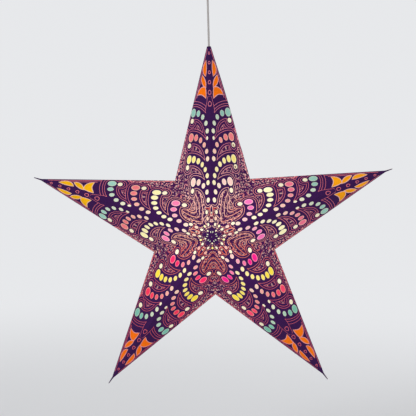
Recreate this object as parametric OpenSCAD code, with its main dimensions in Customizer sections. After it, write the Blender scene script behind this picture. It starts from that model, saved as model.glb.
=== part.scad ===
// Folded paper star lantern, hung by its own cable from a ceiling cup.
// The star stands in the XZ plane, faces -Y and is the same behind. The origin is the middle of
// the face that lies on the ceiling, and all of the lantern hangs below it.

/* [Star] */
// Width of the star from its left tip to its right tip
star_w = 600; // [480:10:720]
// Distance from the star's middle to the notch between two arms
notch_r = 107; // [95:1:125]
// Depth from the middle plane to the front peak or the back peak
peak_d = 95; // [75:1:115]
// Height of the ceiling above the star's top tip
drop_h = 140; // [120:1:170]
// Thickness of the printed paper
paper_t = 0.4; // [0.3:0.05:0.6]
// Width of the glue flaps along the folded edges
flap_w = 12; // [8:1:16]

/* [Arm tips] */
// Length of the pressed strip at the end of each arm but the top one
pinch_l = 16; // [12:1:20]
// How far that strip stands out of the folded point
pinch_out = 8; // [5:1:9]
// Width of the strip where it starts
pinch_w = 3; // [2:0.5:4]
// Width of the strip at its free end
pinch_end_w = 1.2; // [0.8:0.1:1.6]
// How far the top arm's folds would meet beyond its tip, had the tip no hole
top_out = 5; // [3:1:7]

/* [Top arm opening] */
// Distances below the folded point of the two pairs of punched tie holes
tie_drops = [176, 212]; // [140:1:216]
// Distances of the two pairs of holes from the arm's middle
tie_offsets = [36, 39]; // [30:1:40]
// Radius of a punched hole
tie_hole_r = 1; // [0.8:0.1:1.5]
// Radius of the tie string
tie_r = 0.6; // [0.4:0.1:0.7]
// Radius of the knots on the string
knot_r = 1.7; // [1.6:0.1:2.4]
// Gap along the edge that is tied and not glued
slit_w = 0.3; // [0.2:0.05:0.5]

/* [Cable] */
// Diameter of the cable
cable_d = 3.3; // [2.8:0.1:4]
// Gap round the cable where it passes through a hole
cable_gap = 0.3; // [0.15:0.05:0.5]
// Radius of the stop that the top arm hangs on
stop_r = 5; // [4:0.5:7]
// Height of the stop
stop_h = 8; // [6:0.5:12]

/* [Lampholder] */
// Outer diameter of the lampholder
holder_d = 28; // [26:1:34]
// Wall of the lampholder
holder_wall = 2; // [1.5:0.1:2.5]
// Height of the lampholder's skirt
skirt_h = 34; // [32:1:44]
// Height of the lampholder's cap
cap_h = 20; // [16:1:28]
// Radius of the cap's flat top
cap_top_r = 6; // [4.5:0.5:8]
// Radius of the hole for the wires in the skirt's shoulder
wire_hole_r = 8; // [6:0.5:9]
// Thickness of the insert that carries the contacts
insert_t = 6; // [4:0.5:9]
// Wall of the brass contact shell
shell_wall = 0.5; // [0.4:0.1:0.8]
// Depth of the brass contact shell
shell_h = 20; // [16:1:22]
// Gap between parts that slip into each other
fit_gap = 0.3; // [0.2:0.05:0.4]

/* [Bulb] */
// Diameter of the round bulb
bulb_d = 45; // [40:1:60]
// Overall length of the bulb
bulb_l = 78; // [74:1:84]
// Radius of the bulb's metal base
base_r = 7; // [6.8:0.05:7.2]
// Length of the bulb's metal base
base_l = 21; // [20:0.5:24]
// Radius of the contact at the end of the base
contact_r = 3; // [2:0.5:4]
// Length of the contact at the end of the base
contact_l = 2; // [1:0.5:3]
// Radius of the bulb's neck where it meets the globe
neck_r = 12; // [10:0.5:14]

/* [Ceiling fitting] */
// Diameter of the ceiling cup
cup_d = 80; // [74:1:100]
// Height of the straight part of the cup
cup_h = 22; // [20:1:30]
// Height of the cup's sloping bottom
cup_slope_h = 12; // [8:1:16]
// Radius of the cup's flat bottom
cup_bottom_r = 14; // [12:1:20]
// Wall of the cup
cup_wall = 2; // [1.5:0.1:2.5]
// Thickness of the ceiling plate
plate_t = 3; // [2:0.5:4]
// Distance between the plate's two screw holes
screw_pitch = 50; // [46:1:56]
// Radius of a screw hole
screw_hole_r = 2.25; // [2:0.25:2.75]
// Radius of the hole for the house wiring
feed_r = 5; // [4:0.5:7]
// Distance of that hole from the middle of the plate
feed_offset = 20; // [18:1:24]
// Width of the terminal block
block_w = 20; // [16:1:26]
// Depth of the terminal block
block_d = 14; // [12:1:18]
// Radius of the cord grip under the cup
grip_r = 8; // [7:0.5:10]
// Height of the cord grip under the cup
grip_h = 10; // [8:1:14]
// Radius of the cord grip's shank
shank_r = 4.9; // [4:0.1:6]
// Height of the nut on the shank
nut_h = 4; // [3:0.5:6]

/* [Print] */
// Thickness of a field of ink
ink_t = 0.15; // [0.1:0.05:0.2]
// Distances from the folded point along the ridge at which the plumes of ovals leave it
plume_feet = [156, 203, 243, 272]; // [140:1:280]
// Radii of those plumes
plume_radii = [38, 44, 47, 36]; // [30:1:50]
// Number of ovals in a plume
plume_counts = [5, 6, 7, 5]; // [4:1:7]
// Angles through which the plumes turn from the ridge to the edge
plume_turns = [84, 86, 88, 90]; // [60:1:92]
// Share of its plume's turn by which an oval leans
oval_lean = 0.22; // [0:0.02:0.4]
// Half length of the smallest and of the largest oval
oval_lengths = [3, 6.2]; // [2.5:0.1:6.5]
// Half width of the smallest and of the largest oval
oval_widths = [2, 4]; // [1.6:0.1:4.2]
// Width of the plain band along each ridge
band_w = 5; // [4:0.5:7]
// Distances from the tip at which the orange leaves start
leaf_starts = [36, 57, 78]; // [30:1:84]
// Lengths of the leaves
leaf_lengths = [22, 23, 25]; // [18:1:26]
// Half widths of the leaves
leaf_widths = [2.2, 3, 3.6]; // [1.8:0.1:4]
// Angle between a leaf and the ridge
leaf_tilt = 12; // [8:1:16]

/* [Hidden] */
$fn = 48;

arm_step = 360 / 5;
half_step = arm_step / 2;
star_r = star_w / 2 / cos(90 - arm_step);
star_z = -(drop_h + star_r);
notch_x = notch_r * sin(half_step);
notch_z = notch_r * cos(half_step);
arm_apex = star_r - pinch_out;
top_apex = star_r + top_out;
cable_r = cable_d / 2;

// How far a cutting form runs past the thing it cuts
cut_spare = 1;
// Gap between a knot and the ink that it rests on
knot_gap = 0.05;
// How much wider the cream ovals are than the smallest oval of a plume
eyelet_widening = 1.2;

// The cable's route, from the lampholder's insert up to the terminal block
cable_route = [
    [0, 0, -392], [0, 0, -380], [0, 0, -350], [0, 0, -320], [0, 0, -290], [0, 0, -260],
    [0, 0, -230], [0, 0, -200], [0, 0, -170], [0, 0, -140], [0, 0, -110], [0, 0, -80],
    [0, 0, -60], [0, 0, -45], [0, 0, -30], [0, 0, -16]
];
cable_sides = 8;
cable_rings_between = 3;
holder_z = cable_route[0].z;
block_z = cable_route[len(cable_route) - 1].z;

// The flat faces of an arm. Each is a triangle between the folded point, the peak and a notch,
// and a place on it is its distance along the ridge and its distance from the ridge.
function unit(v) = v / norm(v);
function ridge_way(apex) = unit([0, -peak_d, -apex]);
function edge_vector(apex) = [notch_x, 0, notch_z - apex];
function face_normal(apex) = unit(cross(ridge_way(apex), edge_vector(apex)));
function across_way(apex) = cross(face_normal(apex), ridge_way(apex));
function notch_along(apex) = edge_vector(apex) * ridge_way(apex);
function notch_across(apex) = edge_vector(apex) * across_way(apex);
function skin_drop(apex) = paper_t / face_normal(apex).z;

// Distance below the folded point at which a round thing of radius r fits between the faces
function seat_drop(apex, r) =
    let (n = face_normal(apex)) r * norm([n.x, n.y]) / n.z + skin_drop(apex);

top_cut = top_apex - seat_drop(top_apex, cable_r + cable_gap);
stop_top = top_apex - seat_drop(top_apex, stop_r + cable_gap);

module on_face(apex) {
    p = ridge_way(apex);
    q = across_way(apex);
    n = face_normal(apex);
    multmatrix([
        [p.x, q.x, n.x, 0],
        [p.y, q.y, n.y, 0],
        [p.z, q.z, n.z, apex],
        [0, 0, 0, 1]
    ]) children();
}

module both_sides() {
    children();
    mirror([1, 0, 0]) children();
}

module front_and_back() {
    children();
    mirror([0, 1, 0]) children();
}

module at_arm(index) {
    translate([0, 0, star_z]) rotate([0, arm_step * index, 0]) children();
}

module arm_form(apex) {
    polyhedron(
        points = [
            [0, 0, apex],
            [0, -peak_d, 0],
            [notch_x, 0, notch_z],
            [0, peak_d, 0],
            [-notch_x, 0, notch_z]
        ],
        faces = [[0, 2, 1], [0, 1, 4], [0, 3, 2], [0, 4, 3], [1, 2, 3], [1, 3, 4]]
    );
}

// The hollow has the arm's own form, moved down by the paper and made longer than the arm
module arm_hollow(apex) {
    overrun = 1.3;
    translate([0, 0, apex - skin_drop(apex)])
        scale(overrun)
            translate([0, 0, -apex])
                arm_form(apex);
}

// A glue flap along the edge between a peak and a notch, in the plane where two arms meet
module base_flap() {
    edge_l = norm([notch_r, peak_d]);
    along = [notch_r, peak_d] / edge_l;
    inward = [-peak_d, notch_r] / edge_l;
    peak = [0, -peak_d];
    peak_trim = flap_w / 4;
    corner_trim = flap_w * edge_l / peak_d;
    rotate([0, half_step - 90, 0])
        linear_extrude(paper_t)
            polygon([
                peak + along * peak_trim,
                [notch_r, 0],
                [notch_r - corner_trim, 0],
                peak + along * (peak_trim + flap_w) + inward * flap_w
            ]);
}

// A glue flap along the arm's right edge, under the front face
module seam_flap(apex, depth, start) {
    tip_turn = atan2(notch_across(apex), notch_along(apex));
    seam_l = norm(edge_vector(apex));
    on_face(apex)
        translate([0, 0, -depth - paper_t])
            linear_extrude(paper_t)
                rotate(tip_turn)
                    polygon([
                        [start, 0],
                        [seam_l, 0],
                        [seam_l - flap_w, -flap_w],
                        [start + flap_w, -flap_w]
                    ]);
}

module folded_sheet(apex, seam_depth, seam_start) {
    difference() {
        arm_form(apex);
        arm_hollow(apex);
    }
    intersection() {
        arm_form(apex);
        union() {
            front_and_back() both_sides() base_flap();
            seam_flap(apex, seam_depth, seam_start);
        }
    }
}

// The pressed strip of doubled paper at the end of an arm
module pinched_tip() {
    rotate([90, 0, 0])
        linear_extrude(2 * paper_t, center = true)
            polygon([
                [-pinch_w / 2, star_r - pinch_l],
                [pinch_w / 2, star_r - pinch_l],
                [pinch_end_w / 2, star_r],
                [-pinch_end_w / 2, star_r]
            ]);
}

module arm(index) {
    color("#3b1f56")
        at_arm(index) {
            folded_sheet(arm_apex, paper_t, pinch_l);
            pinched_tip();
        }
}

// The open edge of the top arm: a thin gap between the front face and the flap under it
module seam_slit() {
    tip_turn = atan2(notch_across(top_apex), notch_along(top_apex));
    seam_l = norm(edge_vector(top_apex));
    on_face(top_apex)
        translate([0, 0, -paper_t - slit_w])
            linear_extrude(slit_w)
                rotate(tip_turn)
                    translate([0, -flap_w - cut_spare])
                        square([seam_l - flap_w, flap_w + 3 * cut_spare]);
}

module tie_holes() {
    for (i = [0, 1])
        translate([tie_offsets[i], 0, top_apex - tie_drops[i]])
            rotate([90, 0, 0])
                cylinder(r = tie_hole_r, h = 2 * peak_d, center = true);
}

module arm_top() {
    stop_room = top_apex - stop_top + stop_h;
    color("#3b1f56")
        at_arm(0)
            difference() {
                folded_sheet(top_apex, paper_t + slit_w, stop_room);
                seam_slit();
                tie_holes();
                translate([-star_r, -star_r, top_cut]) cube(2 * star_r);
            }
}

// Distance in front of the middle plane at which a knot rests on the paper by its hole
function knot_out(i) =
    let (n = face_normal(top_apex), lift = knot_r + ink_t + knot_gap)
    (lift - n.x * tie_offsets[i] + n.z * tie_drops[i]) / -n.y;

module tie(i) {
    color("#9a5a2a")
        at_arm(0)
            translate([tie_offsets[i], 0, top_apex - tie_drops[i]]) {
                rotate([90, 0, 0]) cylinder(r = tie_r, h = 2 * knot_out(i), center = true);
                front_and_back() translate([0, knot_out(i), 0]) sphere(knot_r);
            }
}

module cable_stop() {
    color("#e8e4dc")
        at_arm(0)
            translate([0, 0, stop_top - stop_h])
                difference() {
                    cylinder(r = stop_r, h = stop_h);
                    translate([0, 0, -cut_spare])
                        cylinder(r = cable_r + cable_gap / 2, h = stop_h + 2 * cut_spare);
                }
}

function between(a, b, share) = a + (b - a) * share;

module cable() {
    centres = concat(
        [
            for (i = [0 : len(cable_route) - 2])
                for (j = [0 : cable_rings_between - 1])
                    between(cable_route[i], cable_route[i + 1], j / cable_rings_between)
        ],
        [cable_route[len(cable_route) - 1]]
    );
    rings = len(centres);
    points = [
        for (c = centres)
            for (s = [0 : cable_sides - 1])
                c + cable_r * [cos(s * 360 / cable_sides), sin(s * 360 / cable_sides), 0]
    ];
    walls = [
        for (r = [0 : rings - 2])
            for (s = [0 : cable_sides - 1])
                let (a = r * cable_sides, next = (s + 1) % cable_sides)
                [a + s, a + cable_sides + s, a + cable_sides + next, a + next]
    ];
    bottom = [for (s = [0 : cable_sides - 1]) s];
    top = [for (s = [cable_sides - 1 : -1 : 0]) (rings - 1) * cable_sides + s];
    color("#8c8686") polyhedron(points = points, faces = concat(walls, [bottom, top]));
}

module at_holder() {
    translate([0, 0, holder_z]) children();
}

module lampholder_cap() {
    neck_h = 5;
    color("#f1efea")
        at_holder()
            translate([0, 0, holder_wall])
                difference() {
                    cylinder(r1 = holder_d / 2, r2 = cap_top_r, h = cap_h);
                    translate([0, 0, -0.01])
                        cylinder(
                            r1 = holder_d / 2 - holder_wall,
                            r2 = cap_top_r - holder_wall,
                            h = cap_h - neck_h
                        );
                    cylinder(r = cable_r + cable_gap, h = cap_h + cut_spare);
                }
}

module lampholder_skirt() {
    color("#f1efea")
        at_holder()
            difference() {
                translate([0, 0, holder_wall - skirt_h]) cylinder(r = holder_d / 2, h = skirt_h);
                translate([0, 0, -skirt_h]) cylinder(r = holder_d / 2 - holder_wall, h = skirt_h);
                cylinder(r = wire_hole_r, h = 2 * holder_wall);
            }
}

module lampholder_insert() {
    color("#d9d4ca")
        at_holder()
            translate([0, 0, -insert_t])
                cylinder(r = holder_d / 2 - holder_wall - fit_gap, h = insert_t);
}

module contact_shell() {
    inner_r = base_r + fit_gap;
    color("#c9a24a")
        at_holder()
            translate([0, 0, -insert_t - shell_h])
                difference() {
                    cylinder(r = inner_r + shell_wall, h = shell_h);
                    translate([0, 0, -cut_spare]) cylinder(r = inner_r, h = shell_h + 2 * cut_spare);
                }
}

module bulb() {
    globe_r = bulb_d / 2;
    globe_z = -insert_t - bulb_l + globe_r;
    neck_z = globe_z + sqrt(globe_r * globe_r - neck_r * neck_r);
    base_z = -insert_t - contact_l - base_l;
    color("#fff2d8")
        at_holder() {
            translate([0, 0, globe_z]) sphere(globe_r, $fn = 64);
            translate([0, 0, neck_z]) cylinder(r1 = neck_r, r2 = base_r, h = base_z - neck_z);
            translate([0, 0, base_z]) cylinder(r = base_r, h = base_l);
            translate([0, 0, base_z + base_l]) cylinder(r = contact_r, h = contact_l);
        }
}

cup_r = cup_d / 2;
cup_bottom_z = -cup_h - cup_slope_h;

module ceiling_plate() {
    color("#e9e7e2")
        translate([0, 0, -plate_t])
            difference() {
                cylinder(r = cup_r - cup_wall - fit_gap, h = plate_t, $fn = 96);
                for (side = [-1, 1])
                    translate([side * screw_pitch / 2, 0, -cut_spare])
                        cylinder(r = screw_hole_r, h = plate_t + 2 * cut_spare);
                translate([0, feed_offset, -cut_spare])
                    cylinder(r = feed_r, h = plate_t + 2 * cut_spare);
            }
}

module cup_form(shrink) {
    translate([0, 0, -cup_h]) cylinder(r = cup_r - shrink, h = cup_h, $fn = 96);
    translate([0, 0, cup_bottom_z + shrink])
        cylinder(
            r1 = cup_bottom_r,
            r2 = cup_r - shrink,
            h = cup_slope_h - shrink,
            $fn = 96
        );
}

module ceiling_cup() {
    color("#f4f2ee")
        difference() {
            cup_form(0);
            cup_form(cup_wall);
            translate([0, 0, -cup_wall])
                cylinder(r = cup_r - cup_wall, h = cup_wall + cut_spare, $fn = 96);
            translate([0, 0, cup_bottom_z - cut_spare])
                cylinder(r = shank_r + fit_gap, h = cup_wall + 2 * cut_spare);
        }
}

module terminal_block() {
    block_h = -plate_t - block_z;
    color("#cfcbc2")
        translate([-block_w / 2, -block_d / 2, block_z]) cube([block_w, block_d, block_h]);
}

module cord_grip() {
    thread_spare = 1;
    shank_h = cup_wall + nut_h + thread_spare;
    color("#f4f2ee")
        translate([0, 0, cup_bottom_z])
            difference() {
                union() {
                    translate([0, 0, -grip_h]) cylinder(r1 = grip_r / 2, r2 = grip_r, h = grip_h);
                    cylinder(r = shank_r, h = shank_h);
                }
                translate([0, 0, -grip_h - cut_spare])
                    cylinder(r = cable_r + cable_gap, h = grip_h + shank_h + 2 * cut_spare);
            }
}

module cord_grip_nut() {
    color("#f4f2ee")
        translate([0, 0, cup_bottom_z + cup_wall])
            difference() {
                cylinder(r = grip_r, h = nut_h, $fn = 6);
                translate([0, 0, -cut_spare])
                    cylinder(r = shank_r + fit_gap, h = nut_h + 2 * cut_spare);
            }
}

// Fields of ink. All are flat shapes on the twenty faces, the same on each.
module on_all_faces() {
    for (index = [0 : 4])
        at_arm(index)
            front_and_back()
                both_sides()
                    on_face(index == 0 ? top_apex : arm_apex)
                        linear_extrude(ink_t)
                            children();
}

module oval(long, wide) {
    polygon([for (a = [0 : 60 : 300]) [long * cos(a), wide * sin(a)]]);
}

// One plume of ovals, which rises along the ridge, turns to the edge and grows on the way
module plume(k) {
    count = plume_counts[k];
    radius = plume_radii[k];
    foot_q = band_w + oval_widths[0];
    for (i = [0 : count - 1]) {
        share = i / (count - 1);
        turn = plume_turns[k] * share;
        translate([plume_feet[k] - radius * sin(turn), foot_q + radius * (1 - cos(turn))])
            rotate(oval_lean * turn)
                oval(
                    between(oval_lengths[0], oval_lengths[1], share),
                    between(oval_widths[0], oval_widths[1], share)
                );
    }
}

module leaf(i) {
    translate([leaf_starts[i], band_w + leaf_widths[i] / 2])
        rotate(leaf_tilt)
            polygon([
                [0, 0],
                [leaf_lengths[i] / 3, leaf_widths[i]],
                [leaf_lengths[i] * 2 / 3, leaf_widths[i]],
                [leaf_lengths[i], 0],
                [leaf_lengths[i] / 2, -leaf_widths[i] / 2]
            ]);
}

module print_leaves() {
    color("#ff7a00") on_all_faces() for (i = [0 : 2]) leaf(i);
}

module print_mint() {
    color("#86c7b4") on_all_faces() plume(0);
}

module print_coral() {
    color("#f0647d") on_all_faces() plume(1);
}

module print_yellow() {
    color("#f5e45a") on_all_faces() plume(2);
}

module print_pink() {
    color("#ee5fa8") on_all_faces() plume(3);
}

// The small ovals round the tie holes, which are on every face and punched on the top arm
module print_cream() {
    color("#f7eccb")
        difference() {
            on_all_faces()
                for (i = [0, 1]) {
                    across = tie_offsets[i] / across_way(top_apex).x;
                    along = (tie_drops[i] + across * across_way(top_apex).z) / -ridge_way(top_apex).z;
                    translate([along, across]) oval(oval_lengths[0], eyelet_widening * oval_widths[0]);
                }
            at_arm(0) tie_holes();
        }
}

arm_top();
arm(1);  // arm_upper_right
arm(2);  // arm_lower_right
arm(3);  // arm_lower_left
arm(4);  // arm_upper_left
tie(0);  // tie_upper
tie(1);  // tie_lower
cable_stop();
cable();
lampholder_cap();
lampholder_skirt();
lampholder_insert();
contact_shell();
bulb();
ceiling_plate();
ceiling_cup();
terminal_block();
cord_grip();
cord_grip_nut();
print_leaves();
print_mint();
print_coral();
print_yellow();
print_pink();
print_cream();
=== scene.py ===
# %% [markdown]
# # A folded paper star, lit from inside
#
# The lantern is five hollow paper arms glued into one star. It hangs from a ceiling cup by its own
# cable, and a small round bulb glows in its middle. Its solids come from the CAD frame. This
# lesson dresses them: it draws the print on one flat face, folds that face into arms and lets the
# bulb shine through the ink.

# %% Load the frame
import math

import bmesh
import bpy
import numpy as np
from mathutils import Matrix, Vector, noise
from mathutils.geometry import delaunay_2d_cdt


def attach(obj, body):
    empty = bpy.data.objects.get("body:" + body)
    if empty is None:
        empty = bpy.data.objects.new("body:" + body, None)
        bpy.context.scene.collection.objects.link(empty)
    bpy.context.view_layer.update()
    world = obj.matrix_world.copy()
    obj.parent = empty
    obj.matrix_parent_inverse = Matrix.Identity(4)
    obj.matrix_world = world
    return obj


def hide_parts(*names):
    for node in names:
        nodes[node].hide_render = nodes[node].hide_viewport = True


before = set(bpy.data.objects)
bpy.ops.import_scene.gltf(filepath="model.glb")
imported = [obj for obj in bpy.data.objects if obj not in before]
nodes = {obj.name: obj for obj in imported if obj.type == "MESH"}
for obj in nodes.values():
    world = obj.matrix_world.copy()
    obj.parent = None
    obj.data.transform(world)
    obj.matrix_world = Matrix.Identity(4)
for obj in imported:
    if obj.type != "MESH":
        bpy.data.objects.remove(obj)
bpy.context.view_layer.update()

# %% [markdown]
# ## The camera
#
# The photograph looks at the star almost squarely, from a little above and a touch to the right,
# through a long lens, so the arms hardly foreshorten. A camera could be placed by eye, but the
# five tips in the picture fix it: this distance, angle and lens put them where the photograph
# has them. The small roll is the star's own lean on its cable, seen from the camera.

# %% Place the camera
STAR_MIDDLE = Vector((0, 0, -0.4554))
VIEW_AZIMUTH = math.radians(2.2)
VIEW_ELEVATION = math.radians(5.7)
VIEW_ROLL = math.radians(1.55)
VIEW_DISTANCE = 2.5
AIM = Vector((-0.0088, 0, -0.4162))
LENS = 128.9
SENSOR = 36

towards = Vector(
    (
        math.sin(VIEW_AZIMUTH) * math.cos(VIEW_ELEVATION),
        -math.cos(VIEW_AZIMUTH) * math.cos(VIEW_ELEVATION),
        math.sin(VIEW_ELEVATION),
    )
)
camera_data = bpy.data.cameras.new("camera")
camera_data.sensor_width = SENSOR
camera_data.lens = LENS
camera = bpy.data.objects.new("camera", camera_data)
bpy.context.scene.collection.objects.link(camera)
camera.location = STAR_MIDDLE + towards * VIEW_DISTANCE
look = (AIM - camera.location).to_track_quat("-Z", "Y").to_matrix().to_4x4()
camera.matrix_world = (
    Matrix.Translation(camera.location) @ look @ Matrix.Rotation(-VIEW_ROLL, 4, "Z")
)
bpy.context.scene.camera = camera
print("camera at", [round(c, 3) for c in camera.location])

# %% [markdown]
# ## Node helpers
#
# Every finish below is a node tree. Two short helpers keep the recipes readable: one adds a node
# with its settings, the other makes an empty group with named sockets. A group is used where
# more than one material needs the same effect, so a change of grain is made in one place.


# %% Node helpers
def add_node(tree, kind, **settings):
    """Adds a node, sets its options, and fills its inputs by name with values or links."""
    node = tree.nodes.new(kind)
    inputs = settings.pop("inputs", {})
    for name, value in settings.items():
        setattr(node, name, value)
    for key, value in inputs.items():
        if isinstance(value, bpy.types.NodeSocket):
            tree.links.new(value, node.inputs[key])
        else:
            node.inputs[key].default_value = value
    return node


def new_group(name, inputs, outputs):
    """An empty node group with those sockets, given as (name, kind, start value)."""
    tree = bpy.data.node_groups.new(name, "ShaderNodeTree")
    for label, kind, start in inputs:
        socket = tree.interface.new_socket(label, in_out="INPUT", socket_type=kind)
        if start is not None:
            socket.default_value = start
    for label, kind in outputs:
        tree.interface.new_socket(label, in_out="OUTPUT", socket_type=kind)
    return tree, tree.nodes.new("NodeGroupInput"), tree.nodes.new("NodeGroupOutput")


def math_node(tree, operation, a, b=0.0, clamp=False):
    """One step of arithmetic on values or links."""
    settings = {"operation": operation, "use_clamp": clamp, "inputs": {0: a, 1: b}}
    return add_node(tree, "ShaderNodeMath", **settings).outputs[0]


def mix_colours(tree, factor, a, b, blend="MIX"):
    """A Mix node set to colours. Its colour sockets are numbers 6 and 7, and its result is 2."""
    settings = {"data_type": "RGBA", "blend_type": blend, "inputs": {0: factor, 6: a, 7: b}}
    return add_node(tree, "ShaderNodeMix", **settings).outputs[2]


def linear(red, green, blue):
    """A colour as it is picked in an image editor, from 0 to 255, as Blender's linear colour."""
    shares = [value / 255 for value in (red, green, blue)]
    return tuple(s / 12.92 if s <= 0.04045 else ((s + 0.055) / 1.055) ** 2.4 for s in shares) + (1.0,)


def new_material(name):
    """A new material with its node tree and its Principled shader."""
    material = bpy.data.materials.new(name)
    material.use_nodes = True
    tree = material.node_tree
    return material, tree, tree.nodes["Principled BSDF"]


# %% [markdown]
# ## Shared grains
#
# Handmade paper shows long fibres and soft clouds where the pulp lay thicker. Moulded plastic has
# a fine orange-peel skin. Both could be painted, but layered noise gives them at any distance and
# has no seam, so each is one group with a height for the bump and a shade for the colour.


# %% Paper fibre group
def make_paper_fibre():
    tree, entry, leave = new_group(
        "paper fibre",
        [("Vector", "NodeSocketVector", None), ("Fineness", "NodeSocketFloat", 1.0)],
        [("Shade", "NodeSocketFloat"), ("Height", "NodeSocketFloat")],
    )
    fineness = entry.outputs["Fineness"]
    scaled = add_node(tree, "ShaderNodeVectorMath", operation="SCALE", inputs={
        0: entry.outputs["Vector"], "Scale": fineness}).outputs[0]
    clouds = add_node(tree, "ShaderNodeTexNoise", inputs={
        "Vector": scaled, "Scale": 35.0, "Detail": 4.0})
    bend = add_node(tree, "ShaderNodeTexNoise", inputs={
        "Vector": scaled, "Scale": 160.0, "Detail": 1.0})
    bent = add_node(tree, "ShaderNodeVectorMath", operation="MULTIPLY_ADD", inputs={
        0: bend.outputs["Color"], 1: (0.012, 0.012, 0.012), 2: scaled}).outputs[0]
    strands = add_node(tree, "ShaderNodeTexVoronoi", feature="DISTANCE_TO_EDGE", inputs={
        "Vector": bent, "Scale": 170.0})
    strand = add_node(tree, "ShaderNodeMapRange", inputs={
        "Value": strands.outputs["Distance"], "From Min": 0.0, "From Max": 0.12,
        "To Min": 1.0, "To Max": 0.0}).outputs[0]
    tooth = add_node(tree, "ShaderNodeTexNoise", inputs={
        "Vector": scaled, "Scale": 900.0, "Detail": 3.0})
    shade = math_node(tree, "MULTIPLY", clouds.outputs["Fac"], 0.75)
    shade = math_node(tree, "ADD", shade, math_node(tree, "MULTIPLY", strand, 0.25))
    height = math_node(tree, "MULTIPLY", tooth.outputs["Fac"], 0.5)
    height = math_node(tree, "ADD", height, math_node(tree, "MULTIPLY", strand, 0.5))
    tree.links.new(shade, leave.inputs["Shade"])
    tree.links.new(height, leave.inputs["Height"])
    return tree


paper_fibre = make_paper_fibre()
print("group:", paper_fibre.name)


# %% Moulded grain group
def make_moulded_grain():
    tree, entry, leave = new_group(
        "moulded grain",
        [("Vector", "NodeSocketVector", None), ("Size", "NodeSocketFloat", 900.0)],
        [("Wear", "NodeSocketFloat"), ("Height", "NodeSocketFloat")],
    )
    skin = add_node(tree, "ShaderNodeTexNoise", inputs={
        "Vector": entry.outputs["Vector"], "Scale": entry.outputs["Size"], "Detail": 2.0})
    dust = add_node(tree, "ShaderNodeTexNoise", inputs={
        "Vector": entry.outputs["Vector"], "Scale": 55.0, "Detail": 6.0, "Roughness": 0.65})
    wear = add_node(tree, "ShaderNodeMapRange", inputs={
        "Value": dust.outputs["Fac"], "From Min": 0.42, "From Max": 0.68}).outputs[0]
    tree.links.new(wear, leave.inputs["Wear"])
    tree.links.new(skin.outputs["Fac"], leave.inputs["Height"])
    return tree


moulded_grain = make_moulded_grain()
print("group:", moulded_grain.name)

# %% [markdown]
# ## Plastic, brass and the cable's jacket
#
# The fittings are moulded plastic and pressed brass. Each takes the moulded grain group: its wear
# mask dulls and darkens the surface in patches, and its height roughens the skin. A plain flat
# white would do from far away, but the top and back views come close to the ceiling cup.


# %% Moulded finishes
DUST_DULLS = 0.18


def moulded_finish(name, clean, dusty, roughness, metallic=0.0, bump=0.15, size=900.0):
    """Plastic, metal or glass with a clean and a dusty colour and a skin of that size."""
    material, tree, shader = new_material(name)
    place = tree.nodes.new("ShaderNodeTexCoord").outputs["Object"]
    grain = add_node(tree, "ShaderNodeGroup", node_tree=moulded_grain,
                     inputs={"Vector": place, "Size": size})
    wear = grain.outputs["Wear"]
    tree.links.new(mix_colours(tree, wear, clean, dusty), shader.inputs["Base Color"])
    dulled = add_node(tree, "ShaderNodeMapRange", inputs={
        "Value": wear, "To Min": roughness, "To Max": min(1.0, roughness + DUST_DULLS)})
    tree.links.new(dulled.outputs[0], shader.inputs["Roughness"])
    bumped = add_node(tree, "ShaderNodeBump", inputs={
        "Height": grain.outputs["Height"], "Strength": bump, "Distance": 0.0002})
    tree.links.new(bumped.outputs[0], shader.inputs["Normal"])
    shader.inputs["Metallic"].default_value = metallic
    return material


white_plastic = moulded_finish(
    "white moulded plastic", linear(236, 234, 229), linear(230, 227, 220), 0.34
)
insert_plastic = moulded_finish(
    "cream insert plastic", linear(222, 214, 196), linear(205, 194, 172), 0.5, bump=0.25
)
contact_brass = moulded_finish(
    "pressed brass", linear(206, 168, 92), linear(160, 122, 60), 0.3, metallic=1.0, size=1500.0
)
bulb_metal = moulded_finish(
    "nickelled bulb base", linear(196, 194, 188), linear(150, 146, 140), 0.26, metallic=1.0
)
black_glass = moulded_finish(
    "black glass ring", linear(20, 19, 22), linear(44, 42, 44), 0.12, bump=0.1
)

# %% [markdown]
# ## The cable
#
# A light two-core lamp cable leaves the top tip and is pulled straight by the star's weight. It
# is one smooth tube along the route of the CAD solid, from the lampholder up to the terminal
# block. A curve with a round bevel is the simplest true tube, and it keeps its centreline.

# %% Lay the cable
MM = 0.001
CABLE_DIAMETER = 0.0033
CABLE_HEIGHTS = (-392, -380, -350, -320, -290, -260, -230, -200, -170, -140, -110, -80, -60, -45,
                 -30, -16)


def cable_jacket():
    """Fine braid of the textile jacket: two windings of thread that cross, with painted shade between
    them.
    """
    material, tree, shader = new_material("grey braided jacket")
    place = tree.nodes.new("ShaderNodeTexCoord").outputs["Object"]
    parts = add_node(tree, "ShaderNodeSeparateXYZ", inputs={0: place})
    around = math_node(tree, "ARCTAN2", parts.outputs[1], parts.outputs[0])
    turns = math_node(tree, "MULTIPLY", around, 6.0)
    climb = math_node(tree, "MULTIPLY", parts.outputs[2], 5200.0)
    left = math_node(tree, "SINE", math_node(tree, "ADD", turns, climb))
    right = math_node(tree, "SINE", math_node(tree, "SUBTRACT", turns, climb))
    braid = math_node(tree, "MAXIMUM", left, right)
    # The colour darkens where the braid dips: painted shade in the grooves between the threads.
    shade = add_node(tree, "ShaderNodeMapRange", inputs={
        "Value": braid, "From Min": -0.6, "From Max": 1.0})
    tree.links.new(
        mix_colours(tree, shade.outputs[0], linear(120, 116, 116), linear(182, 177, 175)),
        shader.inputs["Base Color"],
    )
    bumped = add_node(tree, "ShaderNodeBump", inputs={
        "Height": braid, "Strength": 0.5, "Distance": 0.0002})
    tree.links.new(bumped.outputs[0], shader.inputs["Normal"])
    shader.inputs["Roughness"].default_value = 0.6
    return material


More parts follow.
